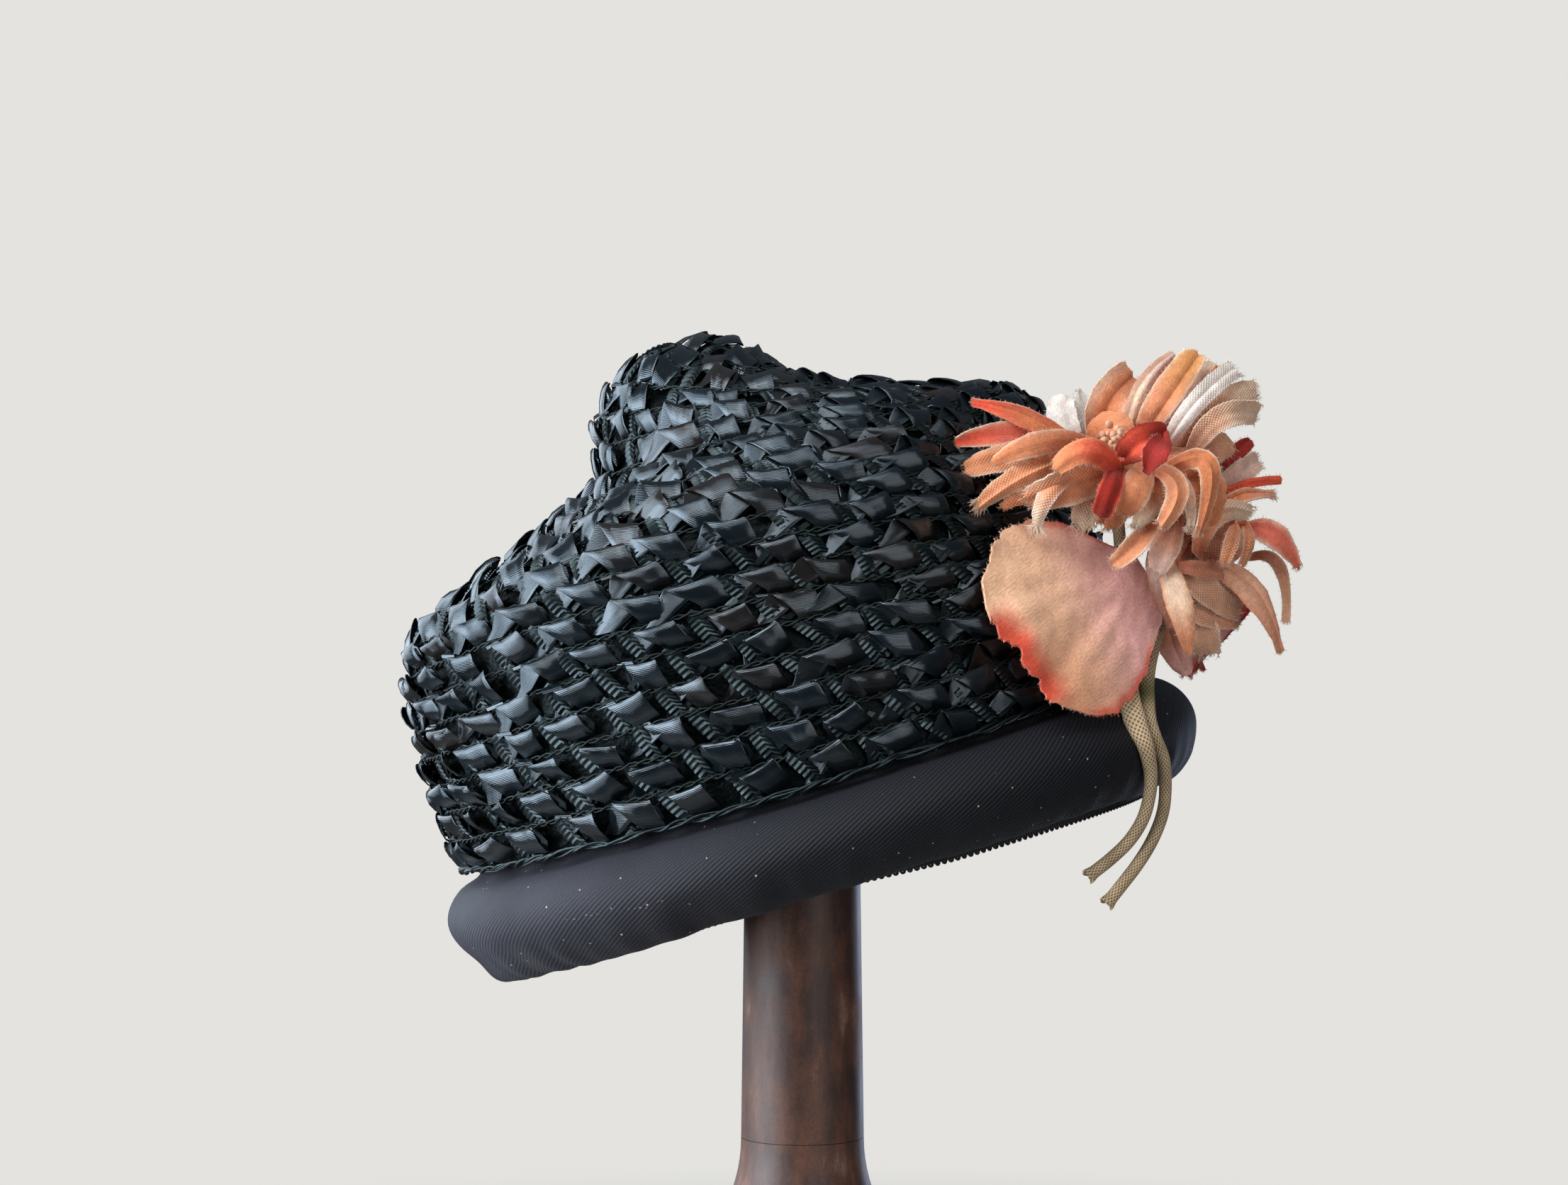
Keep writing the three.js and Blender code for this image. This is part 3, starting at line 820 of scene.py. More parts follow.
@dataclass(frozen=True)
class KnitWrap(Finish):
    """Tan knitted tube over wire: tiny dark stitch holes in diagonal rows, dulled with age."""

    dark: str = "#7E664B"
    light: str = "#D2B996"
    stitch: float = 0.75
    stitch_deg: Pair = (32, -32)
    patch: float = 6.0
    stain: str = "#4F5A22"
    relief: float = -0.2

    def paint(self, tree: Tree, shader: Node) -> None:
        """Joins the patterns to the shader."""
        place = add(tree, "ShaderNodeTexCoord").outputs
        rows = [waves(tree, leaned(tree, place["UV"], a), self.stitch, "Y", 0.8) for a in self.stitch_deg]
        knit = reckoned(tree, "MULTIPLY", *rows)
        worn = lumps(tree, place["Object"], self.patch * MM, 3.0)
        tone = ramp(tree, knit, [(0.0, self.light), (0.55, self.dark)])
        patch = ramp(tree, worn, [(0.3, 0.75), (0.7, 1.1)])
        aged = mixed(tree, 1.0, tone, patch, blend="MULTIPLY")
        stained = mixed(tree, stored(tree, "stain"), aged, linear(self.stain))
        tree.links.new(stained, shader.inputs["Base Color"])
        self.bumped(tree, shader, knit, self.relief, 0.7)


@dataclass(frozen=True)
class StainedWood(Finish):
    """Turned hardwood under dark stain and old varnish: upright mottled streaks with a satin shine."""

    tones: tuple[str, str, str, str] = ("#241410", "#40251B", "#613A28", "#8A6E5E")
    tone_places: tuple[float, float, float, float] = (0.3, 0.46, 0.58, 0.72)
    streak: float = 5.0
    upright: float = 0.22
    blotch: float = 17.0
    pore: float = 0.9
    relief: float = 0.25

    def paint(self, tree: Tree, shader: Node) -> None:
        """Joins the patterns to the shader."""
        place = add(tree, "ShaderNodeTexCoord").outputs["Object"]
        grain = lumps(tree, stretched(tree, place, (1, 1, self.upright)), self.streak * MM, 6.0, 0.62)
        blotch = lumps(tree, place, self.blotch * MM, 3.0)
        both = mixed(tree, 0.5, grain, blotch, "FLOAT")
        tone = ramp(tree, both, list(zip(self.tone_places, self.tones)))
        pores = lumps(tree, place, self.pore * MM, 2.0)
        dots = ramp(tree, pores, [(0.35, 0.7), (0.6, 1.05)])
        speckled = mixed(tree, 0.8, tone, dots, blend="MULTIPLY")
        tree.links.new(speckled, shader.inputs["Base Color"])
        gloss = ramp(tree, blotch, [(0.3, 0.42), (0.7, 0.56)])
        tree.links.new(gloss, shader.inputs["Roughness"])
        self.bumped(tree, shader, grain, self.relief, 0.35)


@dataclass(frozen=True)
class PaleFloor(Finish):
    """Matt pale studio paper that fades into the backdrop far from the hat."""

    tones: tuple[str, str] = ("#C2C0BB", "#C6C4C0")
    fibre: float = 2.0
    near: float = 0.12
    far: float = 0.36

    def paint(self, tree: Tree, shader: Node) -> None:
        """Joins the patterns to the shader."""
        place = add(tree, "ShaderNodeTexCoord").outputs["Object"]
        reach = add(tree, "ShaderNodeVectorMath", {0: place}, operation="LENGTH")
        span = {"Value": reach.outputs["Value"], "From Min": self.near, "From Max": self.far}
        fade = add(tree, "ShaderNodeMapRange", span, interpolation_type="SMOOTHSTEP")
        fibre = lumps(tree, place, self.fibre * MM, 2.0)
        paper = ramp(tree, fibre, [(0.3, self.tones[0]), (0.7, self.tones[1])])
        tree.links.new(paper, shader.inputs["Base Color"])
        clear = add(tree, "ShaderNodeBsdfTransparent")
        values = {0: fade.outputs[0], 1: shader.outputs[0], 2: clear.outputs[0]}
        both = add(tree, "ShaderNodeMixShader", values)
        tree.links.new(both.outputs[0], tree.nodes["Material Output"].inputs["Surface"])


# Studio


@dataclass(frozen=True)
class Lamp:
    """A soft square light: its place and side in metres, its power in watts and its colour."""

    name: str
    place: Triple
    side: float
    power: float
    tone: str


@dataclass
class Studio:
    """The camera at the photograph's angle, a pale floor and soft light."""

    eye: Triple = EYE
    rise_deg: float = 0.3
    lens: float = 81.37
    sensor: float = 36.0
    aim: Triple = (0.01, 0, 0.2)
    backdrop: str = "#E4E3DF"
    sky: str = "#DCE9F5"
    floor_rings: tuple[float, ...] = (60, 150, 260, 380)
    floor_steps: int = 96
    floor_drop: float = 0.2
    lamps: tuple[Lamp, ...] = (
        Lamp("key", (-0.75, -0.85, 1.15), 0.8, 11.2, "#FBFBFA"),
        Lamp("top", (-0.25, -0.75, 1.35), 0.8, 8.2, "#EEF3F8"),
        Lamp("left", (-1.5, -0.2, 0.4), 1.4, 42, "#DDEAF5"),
        Lamp("back", (-1.05, 1.1, 0.5), 1.1, 9, "#D8E8F6"),
        Lamp("low", (-1.1, -0.7, 0.2), 0.8, 9.5, "#EDF2F8"),
        Lamp("rim", (0.5, 0.75, 0.05), 0.25, 1.0, "#D0E0FF"),
        Lamp("front", (0.8, -1.4, 0.4), 0.9, 6.2, "#FFFDFA"),
    )

    def build(self) -> None:
        """Makes the camera, the world, the lights and the floor."""
        scene = bpy.context.scene
        scene.view_settings.view_transform = "Standard"
        camera = bpy.data.cameras.new("camera")
        camera.lens, camera.sensor_width, camera.clip_start = self.lens, self.sensor, 0.02
        seat = bpy.data.objects.new("camera", camera)
        seat.location = Vector(self.eye) * MM
        seat.rotation_euler = (math.radians(90 + self.rise_deg), 0, 0)
        scene.collection.objects.link(seat)
        scene.camera = seat
        self._world(scene)
        for lamp in self.lamps:
            self._hang(lamp)
        self._floor()

    def _world(self, scene: bpy.types.Scene) -> None:
        """A pale backdrop that lights the hat from above more than from below."""
        world = bpy.data.worlds.new("backdrop")
        world.use_nodes = True
        scene.world = world
        tree = world.node_tree
        place = add(tree, "ShaderNodeTexCoord")
        height = add(tree, "ShaderNodeSeparateXYZ", {0: place.outputs["Generated"]})
        span = {"From Min": -0.4, "From Max": 0.9, "To Min": 0.07, "To Max": 0.2}
        glow = add(tree, "ShaderNodeMapRange", {"Value": height.outputs["Z"], **span})
        soft = tree.nodes["Background"]
        soft.inputs["Color"].default_value = linear(self.sky)
        tree.links.new(glow.outputs[0], soft.inputs["Strength"])
        plain = add(tree, "ShaderNodeBackground", {"Color": linear(self.backdrop), "Strength": 1.0})
        path = add(tree, "ShaderNodeLightPath")
        views = {0: path.outputs["Is Camera Ray"], 1: soft.outputs[0], 2: plain.outputs[0]}
        both = add(tree, "ShaderNodeMixShader", views)
        tree.links.new(both.outputs[0], tree.nodes["World Output"].inputs["Surface"])

    def _hang(self, lamp: Lamp) -> None:
        """Hangs a light that points at the hat.

        Args:
            lamp: The light.
        """
        light = bpy.data.lights.new(lamp.name, "AREA")
        light.energy, light.size, light.color = lamp.power, lamp.side, linear(lamp.tone)[:3]
        seat = bpy.data.objects.new(lamp.name, light)
        seat.location = lamp.place
        view = Vector(self.aim) - Vector(lamp.place)
        seat.rotation_euler = view.to_track_quat("-Z", "Y").to_euler()
        bpy.context.scene.collection.objects.link(seat)

    def _floor(self) -> None:
        """Lays the floor, which isn't part of the hat."""
        flat = round_points(self.floor_steps)
        grid = np.array([r * flat for r in self.floor_rings])
        surface = tube_grid(grid, np.zeros((len(grid), self.floor_steps + 1, 2)))
        surface.faces = [*(f[::-1] for f in surface.faces), tuple(range(self.floor_steps))]
        surface.uv = None
        surface.points = surface.points - [0, 0, self.floor_drop]
        surface.make("floor", PaleFloor("pale paper", 0.95, 0.2).build())


# Stand


@dataclass
class Stand:
    """The turned wooden foot, post and cap that hold the hat."""

    foot_radius: float = 67.0
    edge_height: float = 12.0
    edge_round: float = 3.0
    cove: float = 45.0
    post_foot: Pair = (17.3, 61.4)
    post_top: Pair = (15.2, 224.0)
    cap_radius: float = 40.0
    cap_top: float = 268.1
    cap_round: float = 22.0
    cap_under: float = 6.0
    gap: float = 0.15
    bore: float = 3.0
    steps: int = 112

    @staticmethod
    def _arc(centre: Pair, radius: float, start: float, end: float, count: int = 12) -> list[Pair]:
        """Profile points of a round, both ends included."""
        turns = np.radians(np.linspace(start, end, count))
        return [(centre[0] + radius * math.cos(t), centre[1] + radius * math.sin(t)) for t in turns]

    def _turned(self, name: str, profile: Sequence[Pair], finish: Material) -> None:
        """Turns a profile about the post's axis and stands it in for its solid.

        Args:
            name: The solid's node name.
            profile: Radius and height from the axis below to the axis above.
            finish: The material.
        """
        flat = round_points(self.steps)
        rings = np.array([r * flat + [0, 0, z] for r, z in profile])
        surface = tube_grid(rings, np.zeros((len(profile), self.steps + 1, 2)), cap=True)
        ready(surface.make(f"turned_{name}", finish, 40), [name])

    def build(self) -> None:
        """Makes the three turned pieces."""
        wood = StainedWood("stained hardwood", 0.46, 0.55).build()
        edge = self.foot_radius - self.edge_round
        foot = [(self.bore, 0.0), (self.foot_radius - 1, 0.0), (self.foot_radius, 1.0)]
        foot += self._arc((edge, self.edge_height - self.edge_round), self.edge_round, 0, 90, 8)
        foot += self._arc((self.post_foot[0] + self.cove, self.post_foot[1]), self.cove, 268, 180, 24)
        foot += [(self.bore, self.post_foot[1])]
        self._turned("stand_foot", foot, wood)
        low, high = self.post_foot[1] + self.gap, self.post_top[1] - self.gap
        slim = self.post_top[0] - self.post_foot[0]
        shares = np.linspace(0, 1, 12)
        shaft = [(self.post_foot[0] + slim * t, low + (high - low) * t) for t in shares]
        self._turned("stand_post", [(self.bore, low), *shaft, (self.bore, high)], wood)
        under = (self.cap_radius - self.cap_under, self.post_top[1] + self.cap_under)
        over = (self.cap_radius - self.cap_round, self.cap_top - self.cap_round)
        cap = [(self.bore, self.post_top[1]), *self._arc(under, self.cap_under, 270, 360, 8)]
        cap += [*self._arc(over, self.cap_round, 0, 90, 14), (self.bore, self.cap_top)]
        self._turned("stand_cap", cap, wood)


# Hat


@dataclass
class HatShape:
    """The crown's outer shape by the rows of a table, from its lower edge up, and the rim oval."""

    rim_place: Triple = (10.6, 0.0, 134.2)
    tilt_deg: float = 17.0
    rows: int = 16
    oval_centre: float = -0.5
    oval_half: Pair = (101.5, 90.0)
    side_lift: float = 3.0
    level: float = 20.0
    columns: tuple[str, ...] = ("row", "left_x", "left_z", "right_x", "right_z", "side_z", "half_width")
    sections: tuple[tuple[float, ...], ...] = (
        (0, -103, 34, 101, 34, 31.9, 90),
        (3, -104, 67, 99.5, 57, 67, 89.5),
        (6, -98, 99, 97.3, 79, 99, 85),
        (7, -84, 106.5, 96.8, 86, 107, 81),
        (8, -67, 113, 96.2, 93, 113, 76),
        (10, -38, 125.5, 95.3, 106, 122.5, 64.5),
        (11, -32, 137, 93, 113.5, 127.5, 58),
        (12, -26, 149, 88, 119, 132, 50),
        (13, -13.5, 158, 77, 123, 135.5, 40),
        (14, 1, 159.5, 62, 126.5, 138, 28),
        (15, 15, 155.5, 47, 131, 139, 15),
        (16, 29, 141.5, 29, 141.5, 141.5, 0),
    )

    def place(self, points: Array) -> Array:
        """Moves points from the level hat to where it leans on the stand."""
        c, s = math.cos(math.radians(self.tilt_deg)), math.sin(math.radians(self.tilt_deg))
        x, y, z = points[..., 0], points[..., 1], points[..., 2]
        return np.stack([x * c - z * s, y, x * s + z * c], axis=-1) + np.array(self.rim_place)

    def _sampled(self, row: Array) -> dict[str, Array]:
        """All section columns, smooth between the table's rows."""
        table = np.array(self.sections)
        rows = table[:, 0]
        i = np.clip(np.searchsorted(rows, row, side="right") - 1, 0, len(rows) - 2)
        span = rows[i + 1] - rows[i]
        t = (row - rows[i]) / span
        order = np.arange(len(rows))
        after, before = np.minimum(order + 1, len(rows) - 1), np.maximum(order - 1, 0)
        made = {}
        for n, name in enumerate(self.columns[1:], 1):
            v = table[:, n]
            slope = (v[after] - v[before]) / (rows[after] - rows[before])
            bend = t * (1 - t) ** 2 * slope[i] + t * t * (t - 1) * slope[i + 1]
            made[name] = v[i] + (v[i + 1] - v[i]) * t * t * (3 - 2 * t) + span * bend
        return made

    def outer(self, row: Array, turn: Array) -> Array:
        """Points of the crown's outer shape on the level hat.

        Args:
            row: Table rows up from the lower edge.
            turn: Angles round from the right end.
        Returns:
            The points.
        """
        row, turn = np.broadcast_arrays(np.asarray(row, float), np.asarray(turn, float))
        c = self._sampled(row)
        middle = (c["left_z"] + c["right_z"]) / 2
        along, across = np.cos(turn), np.sin(turn)
        x = (c["left_x"] + c["right_x"]) / 2 + (c["right_x"] - c["left_x"]) / 2 * along
        z = middle + (c["right_z"] - c["left_z"]) / 2 * along + (c["side_z"] - middle) * across**2
        return np.stack([x, c["half_width"] * across, z], axis=-1)

    def axes(self, row: Array, turn: Array, inset: float) -> tuple[Array, Array, Array, Array]:
        """Places on the crown with their own axes, in the part's frame.

        Args:
            row: Table rows up.
            turn: Angles round.
            inset: How far in from the outer shape.
        Returns:
            The places, and the directions along the row, up the crown and out of it.
        """
        row, turn = np.broadcast_arrays(np.asarray(row, float), np.asarray(turn, float))
        near = np.minimum(row, self.rows - 0.3)
        up = self.outer(near + 0.02, turn) - self.outer(np.maximum(near - 0.02, 0), turn)
        along = self.outer(near, turn + 0.02) - self.outer(near, turn - 0.02)
        outward = unit(np.cross(along, up))
        places = self.place(self.outer(row, turn) - outward * inset)
        origin = self.place(np.zeros(3))
        along, outward = unit(self.place(along) - origin), unit(self.place(outward) - origin)
        return places, along, np.cross(outward, along), outward

    def rim(self, turn: Array, outward: Array, up: Array) -> Array:
        """Points out from the rim oval, in the part's frame.

        Args:
            turn: Angles round.
            outward: How far out of the oval.
            up: How far up from the rim.
        Returns:
            The points.
        """
        turn, outward, up = np.broadcast_arrays(np.asarray(turn, float), outward, up)
        along, across = np.cos(turn), np.sin(turn)
        lift = self.side_lift * across**2 * (1 - up / self.level)
        x = self.oval_centre + (self.oval_half[0] + outward) * along
        return self.place(np.stack([x, (self.oval_half[1] + outward) * across, up + lift], axis=-1))


@dataclass
class Braid:
    """Rows of looped straw ribbon and plaited gimp on a dark backing, sewn row to row."""

    hat: HatShape
    rows: int = 22
    pitch: float = 17.8
    row_height: float = 11.0
    base: float = 4.0
    bend_radius: float = 100.0
    ribbon_cloth: float = 0.28
    gimp_width: float = 4.6
    gimp_steps: int = 16
    gimp_rungs: int = 4
    seam_inset: float = 2.3
    seam_radius: float = 0.27
    seam_step: float = 1.7
    seam_wave: float = 7.5
    edge_radius: float = 0.46
    edge_inset: float = 2.6
    gimp_step: float = 0.64
    finer: float = 0.22
    looser: float = 0.8
    place_jitter: float = 0.08
    size_jitter: Triple = (0.07, 0.07, 0.12)
    loop_tilt_deg: Triple = (13, 13, 12)
    gimp_tilt_deg: Triple = (3, 4, 5)
    seed: int = 11

    def build(self) -> None:
        """Makes the backing, the loops, the gimp, the seams and the edge cord."""
        straw = CellophaneStraw("black cellophane straw", 0.25, 0.9).build()
        gimp = RayonGimp("black rayon gimp", 0.34, 0.6, tones=("#030608", "#0B1315")).build()
        cotton = RayonGimp("black sewing thread", 0.5, 0.4, tones=("#0C100F", "#232A27")).build()
        net = RayonGimp("black net backing", 0.45, 0.16, tones=("#010202", "#040707"), fibre=1.3, relief=0.9)
        ready(self._backing().make("crown_backing", net.build()), ["crown"])
        loops, plaits = self._sites()
        shapes = [self._ribbon(*v) for v in self._variants()]
        ready(loops.grow("ribbon_loops", shapes, straw, self.loop_tilt_deg, 50))
        arches = [self._plait(0), self._plait(1)]
        ready(plaits.grow("gimp_plaits", arches, gimp, self.gimp_tilt_deg, 35))
        ready(thread("row_seams", self._seams(), self.seam_radius, 5, cotton, True))
        ready(thread("edge_cord", self._edge(), self.edge_radius, 7, gimp, True))

    @staticmethod
    def _variants() -> Sequence[tuple[float, float, float, float, float]]:
        """Ridge height, lean, half width, flare and slant of each loop shape."""
        return (
            (3.4, 0.9, 5.4, 0.5, 0.06),
            (3.6, 1.05, 5.7, 0.2, -0.04),
            (3.2, 0.75, 5.2, 1.4, 0.12),
            (3.5, 1.2, 5.9, 0.9, 0.02),
            (3.7, 0.6, 5.5, -0.8, -0.08),
            (3.1, 1.1, 4.9, 1.8, 0.18),
        )

    @property
    def pace(self) -> float:
        """How many rows of the hat's table one braid row takes."""
        return self.hat.rows / self.rows

    def _backing(self) -> Surface:
        """A thin shell under the loops, with a low rib inside each row."""
        turn = circle(160)
        rows = np.concatenate([np.arange(0, 15.8, 0.25), [15.93]])
        wave = 0.35 * np.cos(2 * np.pi * rows / self.pace)
        outer = np.array([self.hat.axes(r, turn, self.base + 0.5 + w)[0] for r, w in zip(rows, wave)])
        inner = np.array([self.hat.axes(r, turn, self.base + 2.2 + w)[0] for r, w in zip(rows, wave)])
        count, rings = len(turn), len(rows)
        shell = tube_grid(outer, np.zeros((rings, count + 1, 2)))
        lining = tube_grid(inner, np.zeros((rings, count + 1, 2)))
        start = rings * count
        faces = [*shell.faces, *[tuple(start + i for i in f[::-1]) for f in lining.faces]]
        for j in range(count):
            k = (j + 1) % count
            faces.append((k, j, start + j, start + k))
        top = (rings - 1) * count
        faces.append(tuple(range(top, top + count)))
        faces.append(tuple(start + i for i in range(top + count - 1, top - 1, -1)))
        return Surface(np.concatenate([shell.points, lining.points]), faces)

    def _sites(self) -> tuple[Sites, Sites]:
        """Where the loops and the plaits between them stand, row by row.

        Returns:
            The sites of the ribbon loops and of the gimp.
        """
        rng = np.random.default_rng(self.seed)
        found: list[list[Array]] = [[], []]
        shift = 0.0
        for row in np.arange(self.rows) * self.pace:
            middle = row + self.pace / 2
            turn = np.linspace(0, 2 * np.pi, 721)
            line = self.hat.axes(middle, turn, self.base)[0]
            run = lengths(line)
            fine = 1 - self.finer * smooth_step(6.5, 11.5, row)
            count = max(5, round(run[-1] / (self.pitch * fine)))
            loose = 1 + self.looser * smooth_step(7.5, 11.5, row)
            shift += rng.uniform(0.18, 0.62)
            for which, step in enumerate((0.0, self.gimp_step)):
                stray = self.place_jitter * loose * rng.standard_normal(count)
                spots = (np.arange(count) + shift + step + stray) % count
                angle = np.interp(spots / count * run[-1], run, turn)
                place, along, _, outward = self.hat.axes(middle, angle, self.base)
                low, high = self.hat.outer(row, angle), self.hat.outer(row + self.pace, angle)
                tall = np.linalg.norm(high - low, axis=-1) / self.row_height
                wide = run[-1] / count / self.pitch + 0 * tall
                deep = np.clip(0.62 + 0.38 * tall, 0.72, 1.02) * fine
                size = np.stack([wide, np.clip(tall, 0.55, 1.55), deep], axis=-1)
                uneven = np.clip(rng.standard_normal((count, 3)), -1.8, 1.8)
                size = size * (1 + loose * np.array(self.size_jitter) * uneven)
                kind_and_shade = rng.random((count, 2))
                found[which].append(np.concatenate([place, along, outward, size, kind_and_shade], axis=1))
        made = []
        for which, kinds in enumerate((6, 2)):
            rows = np.concatenate(found[which])
            kind = np.floor(rows[:, 12] * kinds)
            made.append(Sites(rows[:, :3], rows[:, 3:6], rows[:, 6:9], rows[:, 9:12], kind, rows[:, 13]))
        return made[0], made[1]

    def _follow(self, points: Array) -> Array:
        """Bends a shape to the mean round of the rows."""
        points[..., 2] -= points[..., 0] ** 2 / (2 * self.bend_radius)
        return points

    def _ribbon(self, ridge: float, lean: float, half: float, flare: float, slant: float) -> Surface:
        """One loop of ribbon: it climbs from the lower left, folds over and falls to the lower right.

        Args:
            ridge: How far the top fold stands out.
            lean: How strongly the ribbon's two legs spread to the sides.
            half: Half of the ribbon's width.
            flare: How much further the right end stands out than the left.
            slant: How far the top fold rises to the right.
        Returns:
            The loop with both legs, pinched at the seams, and its curled tail or a scrap at the seam above.
        """
        # up the crown, out of it in ridges and along the row in leans, from the lower seam over the fold
        run = np.array(
            [(-5.0, 0.06, -8.4), (-1.6, 0.6, -4.9), (2.0, 0.92, -1.9), (3.6, 0.98, -0.8), (4.45, 0.99, -0.2)]
            + [(4.85, 1.0, 0.1), (4.8, 1.1, 0.4), (4.45, 1.22, 0.8), (3.7, 1.31, 1.3), (2.3, 1.33, 2.1)]
            + [(-0.6, 1.12, 3.6), (-3.4, 0.68, 5.1), (-4.5, 0.14, 4.5)]
        )
        across = np.array([-1.0, -0.94, -0.3, 0.4, 0.94, 1.0]) * half
        curl = np.array([0.2, 0.0, 0.0, 0.0, 0.0, 0.15])[None, :]
        rng = np.random.default_rng(round(10 * ridge))
        twist, skid, bowed = rng.uniform(-0.9, 0.9, 3)
        step = np.array([0, 1.5, 3, 4, 5, 6, 7, 8, 9, 10, 11.5, 13, 14])[:, None]
        reach = across / half
        climb, fall = smooth_step(6, 1, step), smooth_step(6, 13, step)
        pinch = 1 - 0.5 * smooth_step(4, 0, step) - 0.34 * smooth_step(8, 14, step)
        horn = np.exp(-(((step - 6.5) / 2.6) ** 2)) * np.abs(reach) ** 3
        up = run[:, :1] + slant * across + 0.6 * skid * fall * reach + 0.4 * horn
        x = pinch * across + lean * run[:, 2:] + skid * fall
        z = ridge * run[:, 1:2] * (1 + 0.14 * flare * across / 5) - curl + 0.5 * horn
        z = z - 0.06 * across * run[:, 1:2]
        z = z + (1.2 * climb + twist * fall) * reach + 0.5 * bowed * (1 - reach**2)
        loop = np.stack([x, up, np.maximum(z, 0.15)], axis=-1)
        length = lengths(run * [1, ridge, lean])
        uv = lattice(length, across)
        parts = [sheet(self._follow(loop), self.ribbon_cloth, uv)]
        if slant < 0.05:
            bow = np.array([(-0.6, 4.3, ridge), (1.9, 2.6, ridge + 0.3), (2.4, -0.8, 2.2), (-0.4, -4.6, 0.9)])
            bow[:, 0] += half
            strip = bow[:, None] + np.array([(-0.5, 0.5, 0.7), (0.5, -0.5, -0.7)])[None]
        else:
            high = np.array([6.3, 5.4, 4.4])[:, None]
            side = np.array([-8.4, -2.6])[None, :]
            lifted = 1.2 + 1.8 * (high < 5.8) + 0.05 * side
            strip = np.stack(np.broadcast_arrays(side + 0.4 * (5 - high), high, lifted), axis=-1)
        parts.append(sheet(self._follow(strip), self.ribbon_cloth, strip[..., :2].copy()))
        return joined(parts)

    def _plait(self, kind: int) -> Surface:
        """One arch of gimp with a herringbone of plaits, and its crossing behind.

        Args:
            kind: Which way the arch leans.
        Returns:
            The surface.
        """
        steps, rungs = self.gimp_steps, self.gimp_rungs
        up = np.linspace(6.0, -6.2, steps)
        arch = 0.4 + 2.0 * np.maximum(1 - (up / 6.6) ** 2, 0) ** 0.7
        knit = np.where(np.arange(steps) % 2 == 0, 0.34, -0.26)
        side = np.array([-1.0, -0.45, 0.0, 0.45, 1.0])
        half = self.gimp_width / 2 * (0.85 + 0.15 * np.cos(up / 4))
        x = side * half[:, None] + (0.34 + 0.18 * kind) * -up[:, None]
        y = up[:, None] + 1.5 * (1 - np.abs(side))[None, :]
        swell = np.array([0.5, 1, 0.2, 1, 0.5])
        z = arch[:, None] + knit[:, None] * swell - 0.4 * np.abs(side) ** 2
        z[:, 2] -= 0.25
        front = sheet(self._follow(np.stack([x, y, z], axis=-1)), 0.7, np.zeros((steps, 5, 2)))
        t = np.linspace(0, 1, rungs)[:, None]
        side = np.array([1.0, -1.0])[None, :]
        ladder = np.where(np.arange(rungs) % 2 == 0, 0.35, -0.2)[:, None]
        x = 0.8 + 8.5 * t + 0.75 * side
        y = -4.9 + 6.5 * t - 0.55 * side
        z = 1.0 + 0.5 * t + ladder + 0 * side
        crossing = np.stack(np.broadcast_arrays(x, y, z), axis=-1)
        behind = sheet(self._follow(crossing), 0.5, np.zeros((rungs, 2, 2)))
        return joined([front, behind])

    def _seams(self) -> list[Array]:
        """Two crossing threads along each row's boundary."""
        lines = []
        rng = np.random.default_rng(self.seed + 1)
        for row in np.arange(1, self.rows) * self.pace:
            turn = np.linspace(0, 2 * np.pi, 361)
            line = self.hat.axes(row, turn, self.seam_inset)[0]
            length = np.linalg.norm(np.diff(line, axis=0), axis=1).sum()
            turn = circle(max(24, int(length / self.seam_step)))
            place, _, up, outward = self.hat.axes(row, turn, self.seam_inset)
            waves = round(length / self.seam_wave)
            drift = sum(0.25 * np.sin(k * turn + rng.random() * 6.28) for k in (5, 9, 17, 31))
            for side in (1, -1):
                swing = side * np.sin(waves * turn + row)
                lift = side * np.cos(waves * turn + row)
                swing, lift = 0.55 * swing + 0.5 * drift, 0.3 * lift + 0.3 * drift
                lines.append(place + up * swing[:, None] + outward * lift[:, None])
        return lines

    def _edge(self) -> list[Array]:
        """A loose, uneven twist of strands along the crown's lower edge."""
        turn = circle(480)
        place, _, up, outward = self.hat.axes(0.0, turn, self.edge_inset)
        rng = np.random.default_rng(self.seed + 2)
        lines = []
        for strand in range(4):
            waved = [np.sin(k * turn + rng.random() * 6.28) / math.sqrt(k) for k in (3, 7, 13, 22, 37)]
            drift = sum(0.9 * w for w in waved)
            angle = (24 + 7 * strand) * turn + 2.4 * drift + 1.6 * strand
            rise = 0.6 * np.sin(angle) + 0.45 * drift - 0.3
            lines.append(place + up * rise[:, None] + outward * (0.8 * np.cos(angle) + 0.3)[:, None])
        return lines


